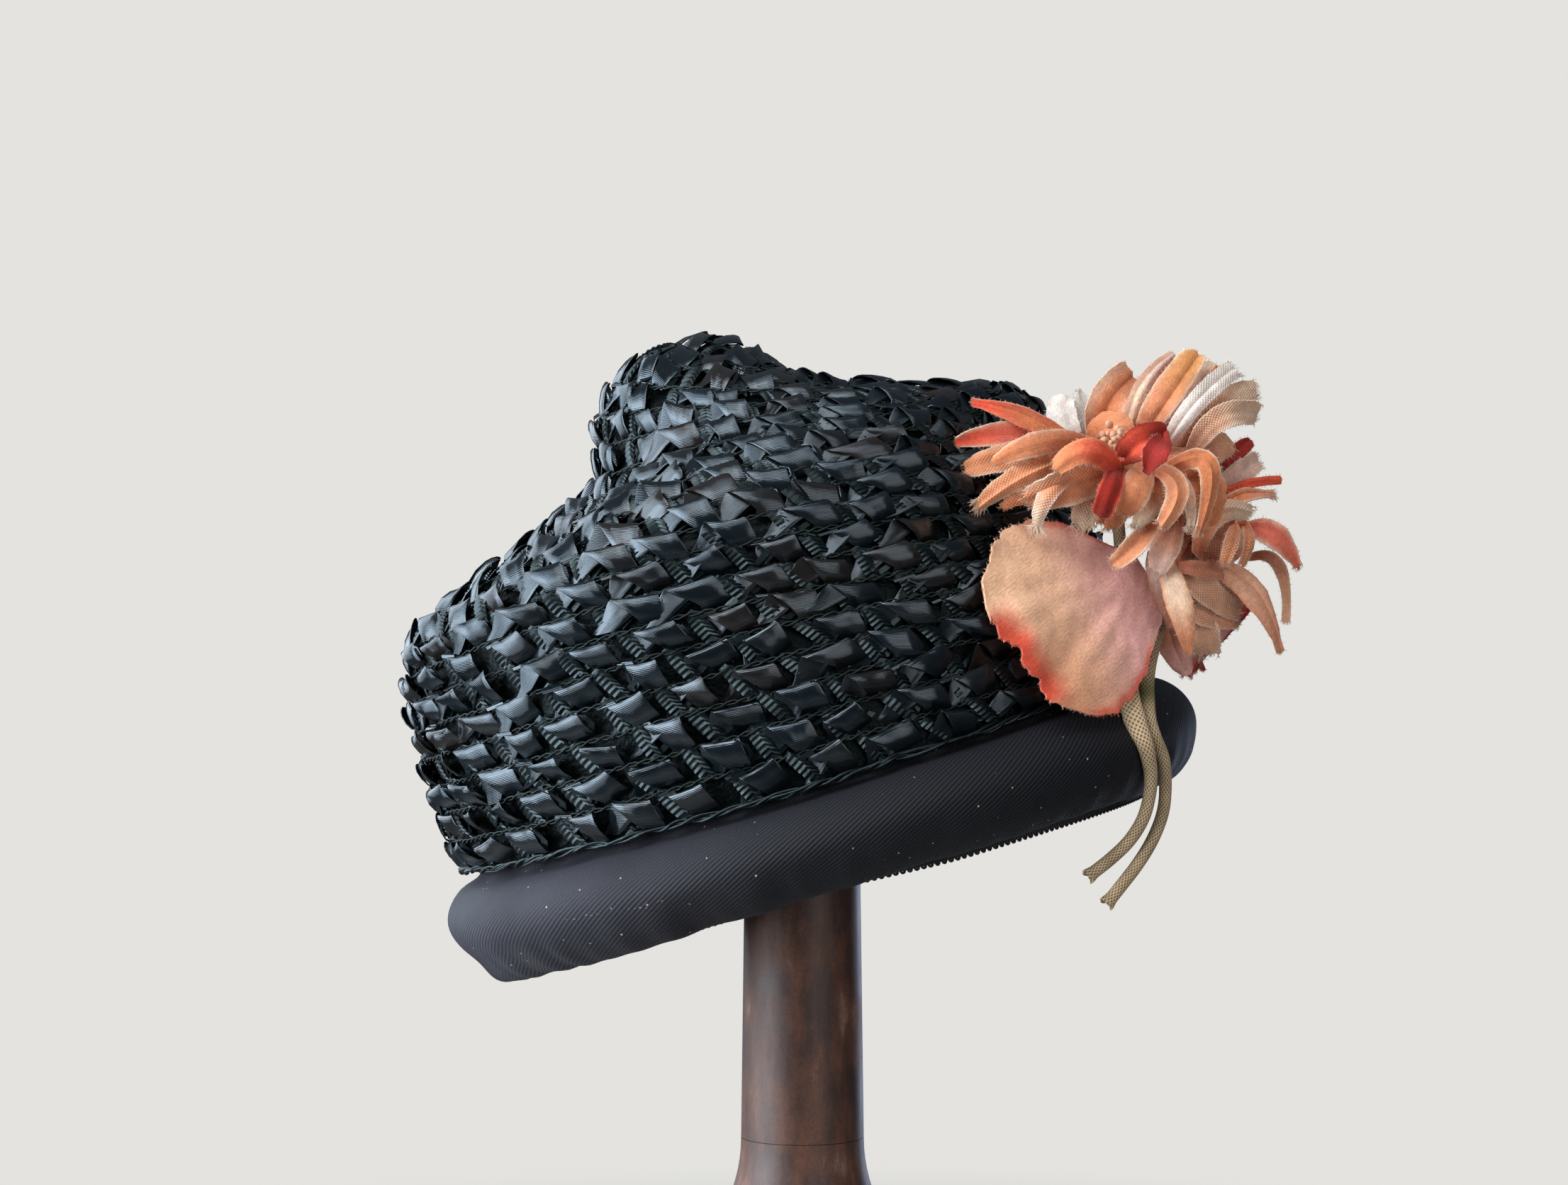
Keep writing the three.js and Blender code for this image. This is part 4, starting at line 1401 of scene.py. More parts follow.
@dataclass
class Band:
    """The soft fold of ribbed cloth round the rim."""

    hat: HatShape
    cloth: float = 2.0
    around: int = 300
    down: int = 56
    pucker: float = 1.3
    mean_radius: float = 99.0
    # where the painted light on the left end starts and where it is full, along x
    painted_light_span: Pair = (28, -98)
    trail_start: Pair = (-70.2, 127.3)
    trail_slope: float = 0.222
    trail_span: Pair = (-70, -33)
    fold: Outline = (
        (-8.7, 43), (-8.6, 34.5), (-5.6, 29.6), (1, 27), (5.6, 22), (7, 15.5),
        (4.2, 8), (-1, 3), (-5.6, 1.6), (-8.1, 4.5), (-9, 12), (-9, 22),
    )
    dents: tuple[Triple, ...] = (
        (-112, 2.2, 1.0), (-109, 1.6, 0.8), (-97, 2.4, 1.1), (-93, 1.8, 1.2),
        (-90, 1.5, 0.7), (-147, 3.0, 1.4), (-139, 2.5, 0.8), (-76, 2.5, 0.6),
    )

    def build(self) -> None:
        """Makes the cloth as one closed skin with its seam at the back."""
        twill = RibbedTwill("ribbed faille", 0.65, 0.22, 0.05, "#8A8694")
        line = spline(np.array(self.fold), self.down)
        run = unit(np.gradient(line, axis=0))
        side = np.stack([-run[:, 1], run[:, 0]], axis=1)
        skin = np.concatenate([(line + side * self.cloth / 2)[::-1], line - side * self.cloth / 2])
        length = lengths(line)
        turn = math.pi / 2 + circle(self.around)
        low = smooth_step(16, 5, skin[:, 1]) * smooth_step(-8.8, -6.5, skin[:, 0])
        slack = self._slack(turn)
        outward = skin[:, :1] - low[:, None] * slack - self._dimple(turn[None, :], skin[:, 1:], skin[:, :1])
        up = skin[:, 1:] + 0.35 * low[:, None] * slack
        points = self.hat.rim(turn[None, :], outward, up)
        points = points + 0.5 * self._waves(points)[..., None] * [0, 0, 1]
        step = twill.rib / math.cos(math.radians(twill.rib_deg))
        ribs = round(2 * math.pi * self.mean_radius / step)
        across = np.concatenate([length[::-1], length, length[-1:]])
        uv = lattice(across, np.linspace(0, ribs * step, self.around + 1))
        surface = tube_grid(points, uv, wrap=True)
        # painted light: fade grows toward the left end, where light falls, and lets the twill's worn colour
        # show there
        surface.floats["fade"] = smooth_step(*self.painted_light_span, surface.points[:, 0]) ** 1.5
        x, y, z = surface.points.T
        beyond = (x < self.trail_span[0]) | (x > self.trail_span[1]) | (y > 0)
        trail = self.trail_start[1] + self.trail_slope * (x - self.trail_start[0])
        surface.floats["trail"] = np.abs(z - trail) + 9.0 * beyond
        piece = ready(surface.make("rim_band", twill.build(), 80), ["band"])

    def _slack(self, turn: Array) -> Array:
        """How far the lower edge is pulled in, with small gathers all round."""
        degrees = off_deg(turn)
        pull = sum(depth * np.exp(-(((degrees - at) / wide) ** 2)) for at, wide, depth in self.dents)
        small = 0.3 * np.sin(23 * turn + 1.0) * np.sin(9 * turn)
        return self.pucker * pull + small + 0.25 * np.sin(57 * turn + 2 * np.sin(5 * turn))

    @staticmethod
    def _dimple(turn: Array, up: Array, outward: Array) -> Array:
        """The hollow pressed into the fold's underside at the left end."""
        off = off_deg(turn, math.pi)
        shape = 4.2 * np.exp(-(((up - 7.5) / 5.5) ** 2)) + 1.2 * np.exp(-(((up - 15) / 5) ** 2))
        return shape * np.exp(-((off / 27) ** 2)) * smooth_step(-8, -4, outward)

    def _waves(self, points: Array) -> Array:
        """Slow unevenness of the padded fold."""
        flat = points.reshape(-1, 3)
        return rough(flat, 38.0, 3.7).reshape(points.shape[:2])


@dataclass
class Sweatband:
    """The grosgrain ribbon inside the rim, with a looped lower edge."""

    hat: HatShape
    out_place: float = -10.9
    cloth: float = 1.0
    top: float = 24.0
    edge: float = 1.6
    drop: float = 2.6
    loop_pitch: float = 1.8
    loop_radius: float = 0.5
    thread_radius: float = 0.4
    around: int = 240

    def build(self) -> None:
        """Makes the ribbon and its edge loops."""
        ribbon = Grosgrain("black grosgrain", 0.55, 0.45).build()
        turn = math.pi / 2 + circle(self.around)
        low = self._edge(turn)
        half = self.cloth / 2 * 0.8
        rows = []
        for share in np.linspace(0, 1, 6):
            rows.append(self.hat.rim(turn, self.out_place + half, low + (self.top - low) * share))
        for share in np.linspace(1, 0, 6):
            rows.append(self.hat.rim(turn, self.out_place - half, low + (self.top - low) * share))
        length = 2 * math.pi * (np.mean(self.hat.oval_half) + self.out_place)
        across = np.concatenate([np.linspace(0, 25, 6), np.linspace(25, 0, 6), [0]])
        uv = lattice(across, np.linspace(0, length, self.around + 1))
        surface = tube_grid(np.array(rows), uv, wrap=True)
        piece = ready(surface.make("sweatband_ribbon", ribbon), ["sweatband"])
        loops = ready(self._loops(length, ribbon))

    def _edge(self, turn: Array) -> Array:
        """The height of the ribbon's lower edge."""
        off = off_deg(turn)
        return self.edge - self.drop * smooth_step(-96, -66, off) * smooth_step(40, -10, off)

    def _loops(self, length: float, finish: Material) -> Object:
        """Half-round thread loops along the lower edge."""
        count = round(length / self.loop_pitch)
        turn = circle(count)
        place = self.hat.rim(turn, self.out_place, self._edge(turn) + 0.15)
        after, before = [self.hat.rim(turn + step, self.out_place, 0.0) for step in (0.01, -0.01)]
        along = unit(after - before)
        above = unit(self.hat.rim(turn, self.out_place, 10.0) - self.hat.rim(turn, self.out_place, 0.0))
        outward = unit(np.cross(along, above))
        bend = np.linspace(0, np.pi, 7)
        middle = self.loop_radius * np.stack([np.cos(bend), -1.15 * np.sin(bend), 0 * bend], axis=1)
        ring = circle(5)
        spoke = np.stack([np.cos(bend), -np.sin(bend), 0 * bend], axis=1)
        over, beside = np.cos(ring)[None, :, None], np.sin(ring)[None, :, None]
        around = spoke[:, None] * over + np.array([0, 0, 1]) * beside
        points = middle[:, None] + self.thread_radius * around
        loop = tube_grid(points, np.zeros((7, 6, 2)), cap=True)
        ones = np.ones(count)
        sites = Sites(place, along, outward, np.ones((count, 3)), 0 * ones, 0.5 * ones)
        return sites.grow("sweatband_loops", [loop], finish, (4, 8, 6), 60)


# Spray


class Dye(Enum):
    """The spray's dyes."""

    ORANGE = "#E08A5C"
    PEACH = "#E6966C"
    PALE = "#F5D1B5"
    CREAM = "#E9DCD2"
    CORAL = "#E4573D"
    BLUSH = "#E67660"
    RED = "#8E1B0D"
    CRIMSON = "#AE352E"
    TWILL = "#E7986E"
    BEIGE = "#EAB190"
    TAN = "#E39B7C"
    BROWN = "#C58468"
    GOLD = "#DE985A"
    PINK = "#FEB9B1"
    ROSE = "#F0C8B8"

    def tone(self) -> Array:
        """The dye as linear red, green and blue."""
        return np.array(linear(self.value)[:3])


(ORANGE, PEACH, PALE, CREAM, CORAL, BLUSH, RED, CRIMSON, TWILL, BEIGE, TAN, BROWN, GOLD, PINK, ROSE) = Dye


@dataclass(frozen=True)
class Petal:
    """One strap petal as it lies on the photograph, to be placed by its own depth.

    Attributes:
        foot: Where the strap starts: pixels across and down, and the depth in millimetres.
        middle: A point that it passes halfway.
        tip: Where it ends.
        width: Its width in pixels.
        dyes: The dyes of its length, tip and edges.
        fray: How far its end is frayed.
        end: Its width near the tip, as a share of the whole.
        weave: How far along the woven ground starts to show; past 1 it never does.
        edge: How far across the dye of the edges starts.
    """

    foot: Triple
    middle: Triple
    tip: Triple
    width: float
    dyes: tuple[Dye, Dye, Dye]
    fray: float
    end: float
    weave: float = 9.0
    edge: float = 0.66

    @staticmethod
    def seen(spot: Triple) -> Array:
        """The place in the part's frame of a pixel at a depth."""
        shrink = 1 - spot[2] / EYE[1]
        x, z = PIXEL * (spot[0] - PIXEL_OF_ORIGIN[0]), PIXEL * (PIXEL_OF_ORIGIN[1] - spot[1])
        return np.array([EYE[0] + (x - EYE[0]) * shrink, spot[2], EYE[2] + (z - EYE[2]) * shrink])

    def line(self, count: int) -> Array:
        """Points along the strap, on a curve through its middle."""
        foot, middle, tip = self.seen(self.foot), self.seen(self.middle), self.seen(self.tip)
        bend = 2 * middle - (foot + tip) / 2
        t = np.linspace(0, 1, count)[:, None]
        return (1 - t) ** 2 * foot + 2 * t * (1 - t) * bend + t**2 * tip

    def wide(self) -> float:
        """Its width in millimetres."""
        return PIXEL * self.width * (1 - self.middle[2] / EYE[1])


@dataclass
class Flower:
    """Strap petals of cut velvet round a core, with frayed edges."""

    name: str
    core: Triple
    petals: Sequence[Petal]
    seed: int
    cloth: float = 0.5
    stalk: float = 2.4
    rows: int = 26
    columns: int = 9
    stalk_rows: int = 4
    fibres: Pair = (110, 60)

    def build(self, velvet: Material) -> None:
        """Makes the petals as one piece and the loose fibres on their edges.

        Args:
            velvet: The petals' finish.
        """
        rng = np.random.default_rng(self.seed)
        made, fibres = [], []
        for petal in self.petals:
            surface, threads = self._petal(rng, petal)
            made.append(surface)
            fibres.append(threads)
        piece = joined(made).make(f"{self.name}_petals", velvet)
        ready(piece, [self.name])
        flat = [np.concatenate(part) for part in zip(*fibres)]
        places, along, outward, size, tint = flat
        kind, shade = rng.integers(0, 2, len(places)), rng.random(len(places))
        sites = Sites(places, along, outward, size, kind, shade, tint)
        fuzz = sites.grow(f"{self.name}_fibres", [hair(0.5), hair(-0.9)], velvet, (25, 25, 40), 60)
        ready(fuzz)
        strip = sum(p.area() for p in made) / 2 * MM * MM

    def _petal(self, rng: Random, petal: Petal) -> tuple[Surface, tuple]:
        """One petal from the core by its foot and middle to its tip.

        Args:
            rng: Source of the small differences.
            petal: Its lie and its dyes.
        Returns:
            The surface, and the places, axes, sizes and tints of its edge fibres.
        """
        core = np.array(self.core)
        curve = petal.line(self.rows - self.stalk_rows)
        stalk = core + np.linspace(0.15, 0.8, self.stalk_rows)[:, None] * (curve[0] - core)
        line = np.concatenate([stalk, curve])
        width, fray, end = petal.wide(), petal.fray, petal.end
        t = np.concatenate([np.zeros(self.stalk_rows), np.linspace(0, 1, len(curve))])
        run = unit(np.gradient(line, axis=0))
        side = unit(np.cross(run, [0, -1, 0]))
        face = np.cross(side, run)
        twist = np.radians(rng.uniform(-24, 24)) * t + np.radians(rng.uniform(-12, 12))
        turned = side * np.cos(twist)[:, None] + face * np.sin(twist)[:, None]
        raised = np.cross(turned, run)
        share = np.interp(t, [0, 0.25, 0.55, 0.85, 0.97, 1], [0.55, 0.88, 1, 0.4 + 0.6 * end, end, 0.9 * end])
        half = np.maximum(width * share, self.stalk) / 2
        half[: self.stalk_rows] = self.stalk / 2
        s = np.linspace(1, -1, self.columns)
        torn = 0.02 + 0.05 * fray * smooth_step(0.5, 1.0, t)[:, None]
        ragged = 1 + torn * rng.standard_normal((self.rows, 2))
        edge = np.where(s > 0, ragged[:, :1], ragged[:, 1:])
        offset = half[:, None] * s * (1 + (edge - 1) * s ** 2)
        cup = rng.choice([1, 1, -0.8]) * rng.uniform(0.03, 0.14) * width
        phase, beat = rng.uniform(0, 6.28, 2), rng.uniform(5, 10, 2)
        one, other = [np.sin(b * t + p)[:, None] for b, p in zip(beat, phase)]
        wave = np.where(s > 0, one, other)
        lift = cup * (0.5 - s ** 2) * share[:, None]
        lift = lift + 0.07 * width * wave * np.abs(s) ** 2.5 * t[:, None]
        at, deep = rng.uniform(-0.45, 0.45, 2), rng.uniform(0.05, 0.12, 2) * rng.choice([-1, 1], 2)
        crease = sum(d * width * np.exp(-(((s - a) / 0.2) ** 2)) * share[:, None] for a, d in zip(at, deep))
        grid = line[:, None] + turned[:, None] * offset[..., None]
        grid = grid + raised[:, None] * (lift + crease)[..., None]
        round_off = (0.42 - 0.38 * end) * end * width * (0.4 - s**2)
        round_off = round_off + 0.12 * fray * width * rng.standard_normal(self.columns)
        grid += run[:, None] * (smooth_step(0.85, 1.0, t)[:, None] * round_off[None, :])[..., None]
        ends = [d.tone() for d in petal.dyes]
        fade = smooth_step(0.35, 0.95, t)[:, None, None]
        margin = smooth_step(petal.edge, 1.0, np.abs(s))[None, :, None]
        front = ends[0] * (1 - fade) + ends[1] * fade
        front = front * (1 - 0.85 * margin) + ends[2] * 0.85 * margin
        # painted shade: the front is darker and redder toward the foot, in the heart where the petals crowd
        front = front * (1 - 0.45 * smooth_step(0.3, 0.0, t)[:, None, None] * [0.5, 0.9, 1.0])
        back = 0.55 * front + 0.45 * PALE.tone()
        ground = smooth_step(petal.weave - 0.12, petal.weave + 0.12, t)[:, None] * np.ones((1, self.columns))
        length = np.cumsum(np.linalg.norm(np.gradient(line, axis=0), axis=1))
        uv = np.stack(np.broadcast_arrays(length[:, None], offset), axis=-1)
        surface = sheet(grid, self.cloth, uv, {"weave": (ground, np.ones_like(ground))}, (front, back))
        return surface, self._fray(rng, grid, (run, turned, raised), front, fray)

    def _fray(self, rng: Random, grid: Array, axes: Sequence[Array], tint: Array, fray: float) -> tuple:
        """Fibres along a petal's edges and end.

        Args:
            rng: Source of their places and sizes.
            grid: The petal's points.
            axes: The directions along it, across it and out of it, row by row.
            tint: The dye of its front.
            fray: How far its end is frayed.
        Returns:
            The places, axes, sizes and tints of the fibres.
        """
        run, side, face = axes
        count = int(self.fibres[0] + self.fibres[1] * fray)
        row = rng.integers(6, self.rows, count)
        last = rng.random(count) < 0.25 + 0.4 * fray
        row = np.where(last, self.rows - 1, row)
        left = rng.random(count) < 0.5
        column = np.where(last, rng.integers(0, self.columns, count), np.where(left, 0, self.columns - 1))
        away = np.where(last[:, None], run[row], side[row] * np.where(left, 1, -1)[:, None])
        long = np.where(last, 0.6 + 2.2 * fray, 0.8)[:, None]
        size = rng.uniform(0.2, 0.5, (count, 1)) * long * np.ones((1, 3))
        shade = tint[row, column] * 0.45 + 0.55 * PALE.tone()
        return grid[row, column] + 0.1 * face[row], away, face[row], size, shade


def hair(bend: float) -> Surface:
    """A short bent fibre along X that tapers to its end.

    Args:
        bend: How far its end swings.
    Returns:
        The surface.
    """
    t = np.array([-0.15, 0.35, 0.7, 1.0])
    middle = np.stack([2.2 * t, bend * t**2, 0.2 * t], axis=1)
    ring = circle(3)
    around = np.stack([0 * ring, np.cos(ring), np.sin(ring)], axis=1)
    points = middle[:, None] + around[None] * np.array([0.15, 0.13, 0.1, 0.04])[:, None, None]
    return tube_grid(points, np.zeros((4, 4, 2)), cap=True)


# Petals of the upper flower: foot, middle, tip, width, dyes, fray, end, and the start of the weave
UPPER_PETALS = (
    # left fan
    Petal((1520, 632, -52), (1448, 590, -58), (1372, 568, -56), 30, (ORANGE, CORAL, BLUSH), 0.1, 0.3),
    Petal(
        (1500, 622, -48), (1425, 612, -57), (1349, 625, -57), 38, (BLUSH, CORAL, PALE), 0.1, 0.45, edge=0.6
    ),
    Petal((1500, 630, -50), (1435, 642, -59), (1362, 660, -60), 46, (ORANGE, PEACH, PALE), 0.3, 0.7, 0.35),
    Petal((1525, 622, -58), (1465, 626, -68), (1402, 652, -67), 36, (PEACH, ORANGE, PALE), 0.2, 0.4),
    Petal((1525, 650, -52), (1455, 682, -57), (1402, 700, -57), 52, (ORANGE, TWILL, ORANGE), 0.3, 0.8, 0.1),
    Petal((1520, 645, -58), (1450, 666, -67), (1382, 712, -66), 36, (PEACH, TWILL, PALE), 0.8, 0.55, 0.2),
    # folded petal left of the heart
    Petal((1570, 668, -62), (1512, 684, -69), (1452, 706, -68), 60, (TWILL, TWILL, PALE), 0.5, 0.6, 0.05),
    Petal((1515, 668, -66), (1478, 698, -71), (1463, 740, -68), 28, (TWILL, PALE, CREAM), 1.0, 0.5, 0.3),
    Petal((1576, 672, -68), (1540, 636, -77), (1490, 660, -73), 38, (CORAL, ORANGE, PEACH), 0.2, 0.7),
    # low middle
    Petal((1562, 668, -60), (1540, 702, -64), (1527, 742, -62), 42, (TWILL, PALE, PALE), 0.9, 0.8, 0.1),
    Petal((1592, 670, -56), (1577, 706, -59), (1560, 742, -57), 48, (PEACH, TWILL, PALE), 0.6, 0.8, 0.3),
    Petal((1577, 660, -69), (1566, 692, -75), (1553, 727, -72), 33, (RED, RED, CORAL), 0.0, 0.85, edge=0.85),
    Petal((1617, 655, -66), (1603, 690, -72), (1585, 724, -70), 46, (PEACH, ORANGE, PALE), 0.3, 0.75),
    Petal((1642, 662, -64), (1625, 704, -69), (1606, 742, -67), 38, (PEACH, PALE, PALE), 0.6, 0.6, edge=0.4),
    Petal((1632, 662, -68), (1661, 690, -75), (1640, 740, -71), 34, (PEACH, PEACH, PALE), 0.4, 0.7),
    Petal((1612, 675, -52), (1640, 705, -56), (1655, 740, -54), 60, (ORANGE, TAN, ORANGE), 0.2, 0.8),
    # right arch
    Petal((1660, 656, -60), (1702, 682, -68), (1697, 738, -64), 56, (ORANGE, ORANGE, TAN), 0.3, 0.75),
    Petal((1650, 668, -64), (1674, 692, -71), (1680, 742, -69), 20, (ORANGE, PALE, CREAM), 0.7, 0.6),
    Petal(
        (1644, 664, -64), (1704, 656, -74), (1692, 748, -70), 34, (ORANGE, ORANGE, PALE), 0.6, 0.4, edge=0.75
    ),
    # red hood
    Petal((1584, 650, -70), (1610, 626, -77), (1648, 616, -75), 52, (CORAL, RED, RED), 0.1, 0.85),
    Petal((1646, 618, -77), (1630, 640, -80), (1617, 668, -77), 38, (CRIMSON, RED, RED), 0.0, 0.12),
    # back fan
    Petal((1535, 612, -40), (1528, 580, -37), (1521, 553, -36), 26, (CREAM, CREAM, CREAM), 0.2, 0.4),
    Petal((1520, 622, -43), (1499, 590, -41), (1501, 560, -38), 45, (CREAM, CREAM, CREAM), 0.0, 0.8),
    Petal(
        (1550, 614, -44), (1566, 566, -50), (1600, 530, -45), 60, (ORANGE, PEACH, PALE), 0.1, 0.9, edge=0.3
    ),
    Petal((1590, 614, -48), (1611, 547, -53), (1655, 500, -47), 24, (PALE, ROSE, TAN), 0.1, 0.5),
    Petal((1606, 612, -44), (1624, 565, -46), (1652, 522, -44), 40, (PALE, PEACH, ORANGE), 0.1, 0.7),
    Petal((1610, 612, -49), (1646, 556, -57), (1687, 498, -51), 46, (PEACH, GOLD, PALE), 0.2, 0.8),
    Petal((1642, 612, -46), (1680, 562, -51), (1722, 522, -47), 52, (ROSE, PALE, PALE), 0.3, 0.9),
    Petal((1660, 610, -52), (1688, 564, -56), (1719, 520, -51), 10, (CORAL, ORANGE, ORANGE), 0.0, 0.5),
    Petal((1645, 628, -53), (1688, 567, -61), (1740, 521, -55), 30, (CREAM, CREAM, CREAM), 0.4, 1.0, 0.5),
    Petal((1662, 642, -50), (1674, 608, -53), (1692, 580, -51), 34, (TAN, BEIGE, PALE), 0.0, 0.7),
    Petal((1672, 642, -50), (1706, 578, -57), (1771, 550, -51), 32, (BEIGE, PALE, PALE), 0.4, 0.95, 0.2),
    Petal((1680, 642, -54), (1720, 591, -63), (1774, 584, -57), 36, (BEIGE, PALE, PALE), 0.3, 0.98, 0.2),
    Petal((1690, 662, -44), (1709, 632, -45), (1738, 634, -43), 50, (TAN, BEIGE, PALE), 0.2, 0.7),
    # heart
    Petal((1545, 628, -46), (1562, 604, -51), (1595, 596, -51), 50, (ORANGE, PEACH, PEACH), 0.0, 0.8),
    Petal((1572, 642, -56), (1604, 656, -60), (1645, 660, -58), 48, (ORANGE, PEACH, TAN), 0.0, 0.8),
)


# Petals of the lower flower, in the same order
LOWER_PETALS = (
    Petal((1722, 670, -36), (1738, 646, -38), (1765, 622, -36), 28, (CRIMSON, CRIMSON, CRIMSON), 0.0, 0.6),
    Petal((1712, 698, -38), (1745, 671, -41), (1776, 649, -39), 34, (ROSE, ROSE, PALE), 0.3, 0.85),
    Petal((1698, 712, -38), (1706, 682, -40), (1713, 656, -38), 34, (TAN, TAN, BEIGE), 0.1, 0.7),
    Petal((1716, 702, -42), (1758, 684, -46), (1807, 677, -44), 15, (CORAL, CORAL, BLUSH), 0.0, 0.5),
    Petal((1722, 716, -44), (1754, 699, -48), (1795, 698, -46), 22, (ORANGE, TAN, PALE), 0.5, 0.25),
    Petal((1678, 742, -46), (1698, 716, -49), (1724, 702, -46), 44, (TAN, ORANGE, TWILL), 0.2, 0.7),
    # painted shade: a broad brown petal deep behind the arch, the flower's woven inside dyed brown where
    # shade falls
    Petal((1700, 796, -46), (1726, 764, -45), (1752, 734, -45), 64, (BROWN, TAN, BROWN), 0.0, 0.8, 0.0),
    Petal((1690, 786, -50), (1714, 728, -58), (1763, 724, -54), 34, (TWILL, PALE, PALE), 0.4, 0.7, 0.4),
    Petal((1742, 740, -56), (1737, 766, -59), (1727, 794, -57), 22, (TWILL, TWILL, PALE), 0.3, 0.6, 0.1),
    Petal((1757, 740, -54), (1762, 766, -57), (1752, 796, -55), 18, (PEACH, TWILL, PALE), 0.3, 0.6, 0.1),
    Petal((1758, 748, -44), (1799, 756, -50), (1831, 800, -46), 38, (BLUSH, BLUSH, PALE), 0.3, 0.3, edge=0.6),
    Petal((1765, 786, -38), (1805, 800, -40), (1814, 878, -38), 19, (TAN, BEIGE, PALE), 0.1, 0.3),
    Petal((1708, 800, -48), (1767, 836, -52), (1806, 920, -46), 38, (BEIGE, TAN, TAN), 0.1, 0.15),
    Petal((1640, 785, -55), (1663, 850, -61), (1677, 922, -55), 38, (PALE, PEACH, PEACH), 0.1, 0.35),
    Petal((1645, 860, -41), (1655, 908, -41), (1676, 950, -37), 44, (BROWN, PINK, BROWN), 0.1, 0.5),
    Petal((1626, 786, -48), (1640, 826, -51), (1654, 884, -47), 38, (ROSE, TAN, BROWN), 0.1, 0.5),
    Petal((1660, 728, -57), (1646, 766, -62), (1632, 806, -60), 44, (TAN, ROSE, PALE), 0.4, 0.6),
    Petal((1630, 732, -62), (1604, 766, -67), (1571, 796, -65), 32, (PEACH, TWILL, PALE), 0.3, 0.7),
    Petal((1668, 800, -44), (1700, 830, -49), (1745, 868, -44), 42, (BEIGE, BEIGE, PALE), 0.5, 0.6, 0.1),
    Petal((1668, 842, -42), (1696, 866, -46), (1742, 880, -42), 34, (BEIGE, TAN, PALE), 0.5, 0.5, 0.1),
    Petal((1682, 862, -40), (1696, 890, -44), (1701, 921, -40), 50, (BEIGE, BEIGE, PALE), 0.7, 0.8, 0.1),
    Petal((1660, 800, -48), (1700, 804, -52), (1740, 816, -48), 24, (TAN, BROWN, TAN), 0.2, 0.5, 0.1),
    Petal((1690, 802, -36), (1718, 832, -35), (1744, 862, -35), 62, (BROWN, BROWN, BROWN), 0.0, 0.8),
)


FLOWERS = (
    Flower("upper_flower", (82.5, -45, 255.8), UPPER_PETALS, 5),
    Flower("lower_flower", (107.2, -36, 232.1), LOWER_PETALS, 8),
)


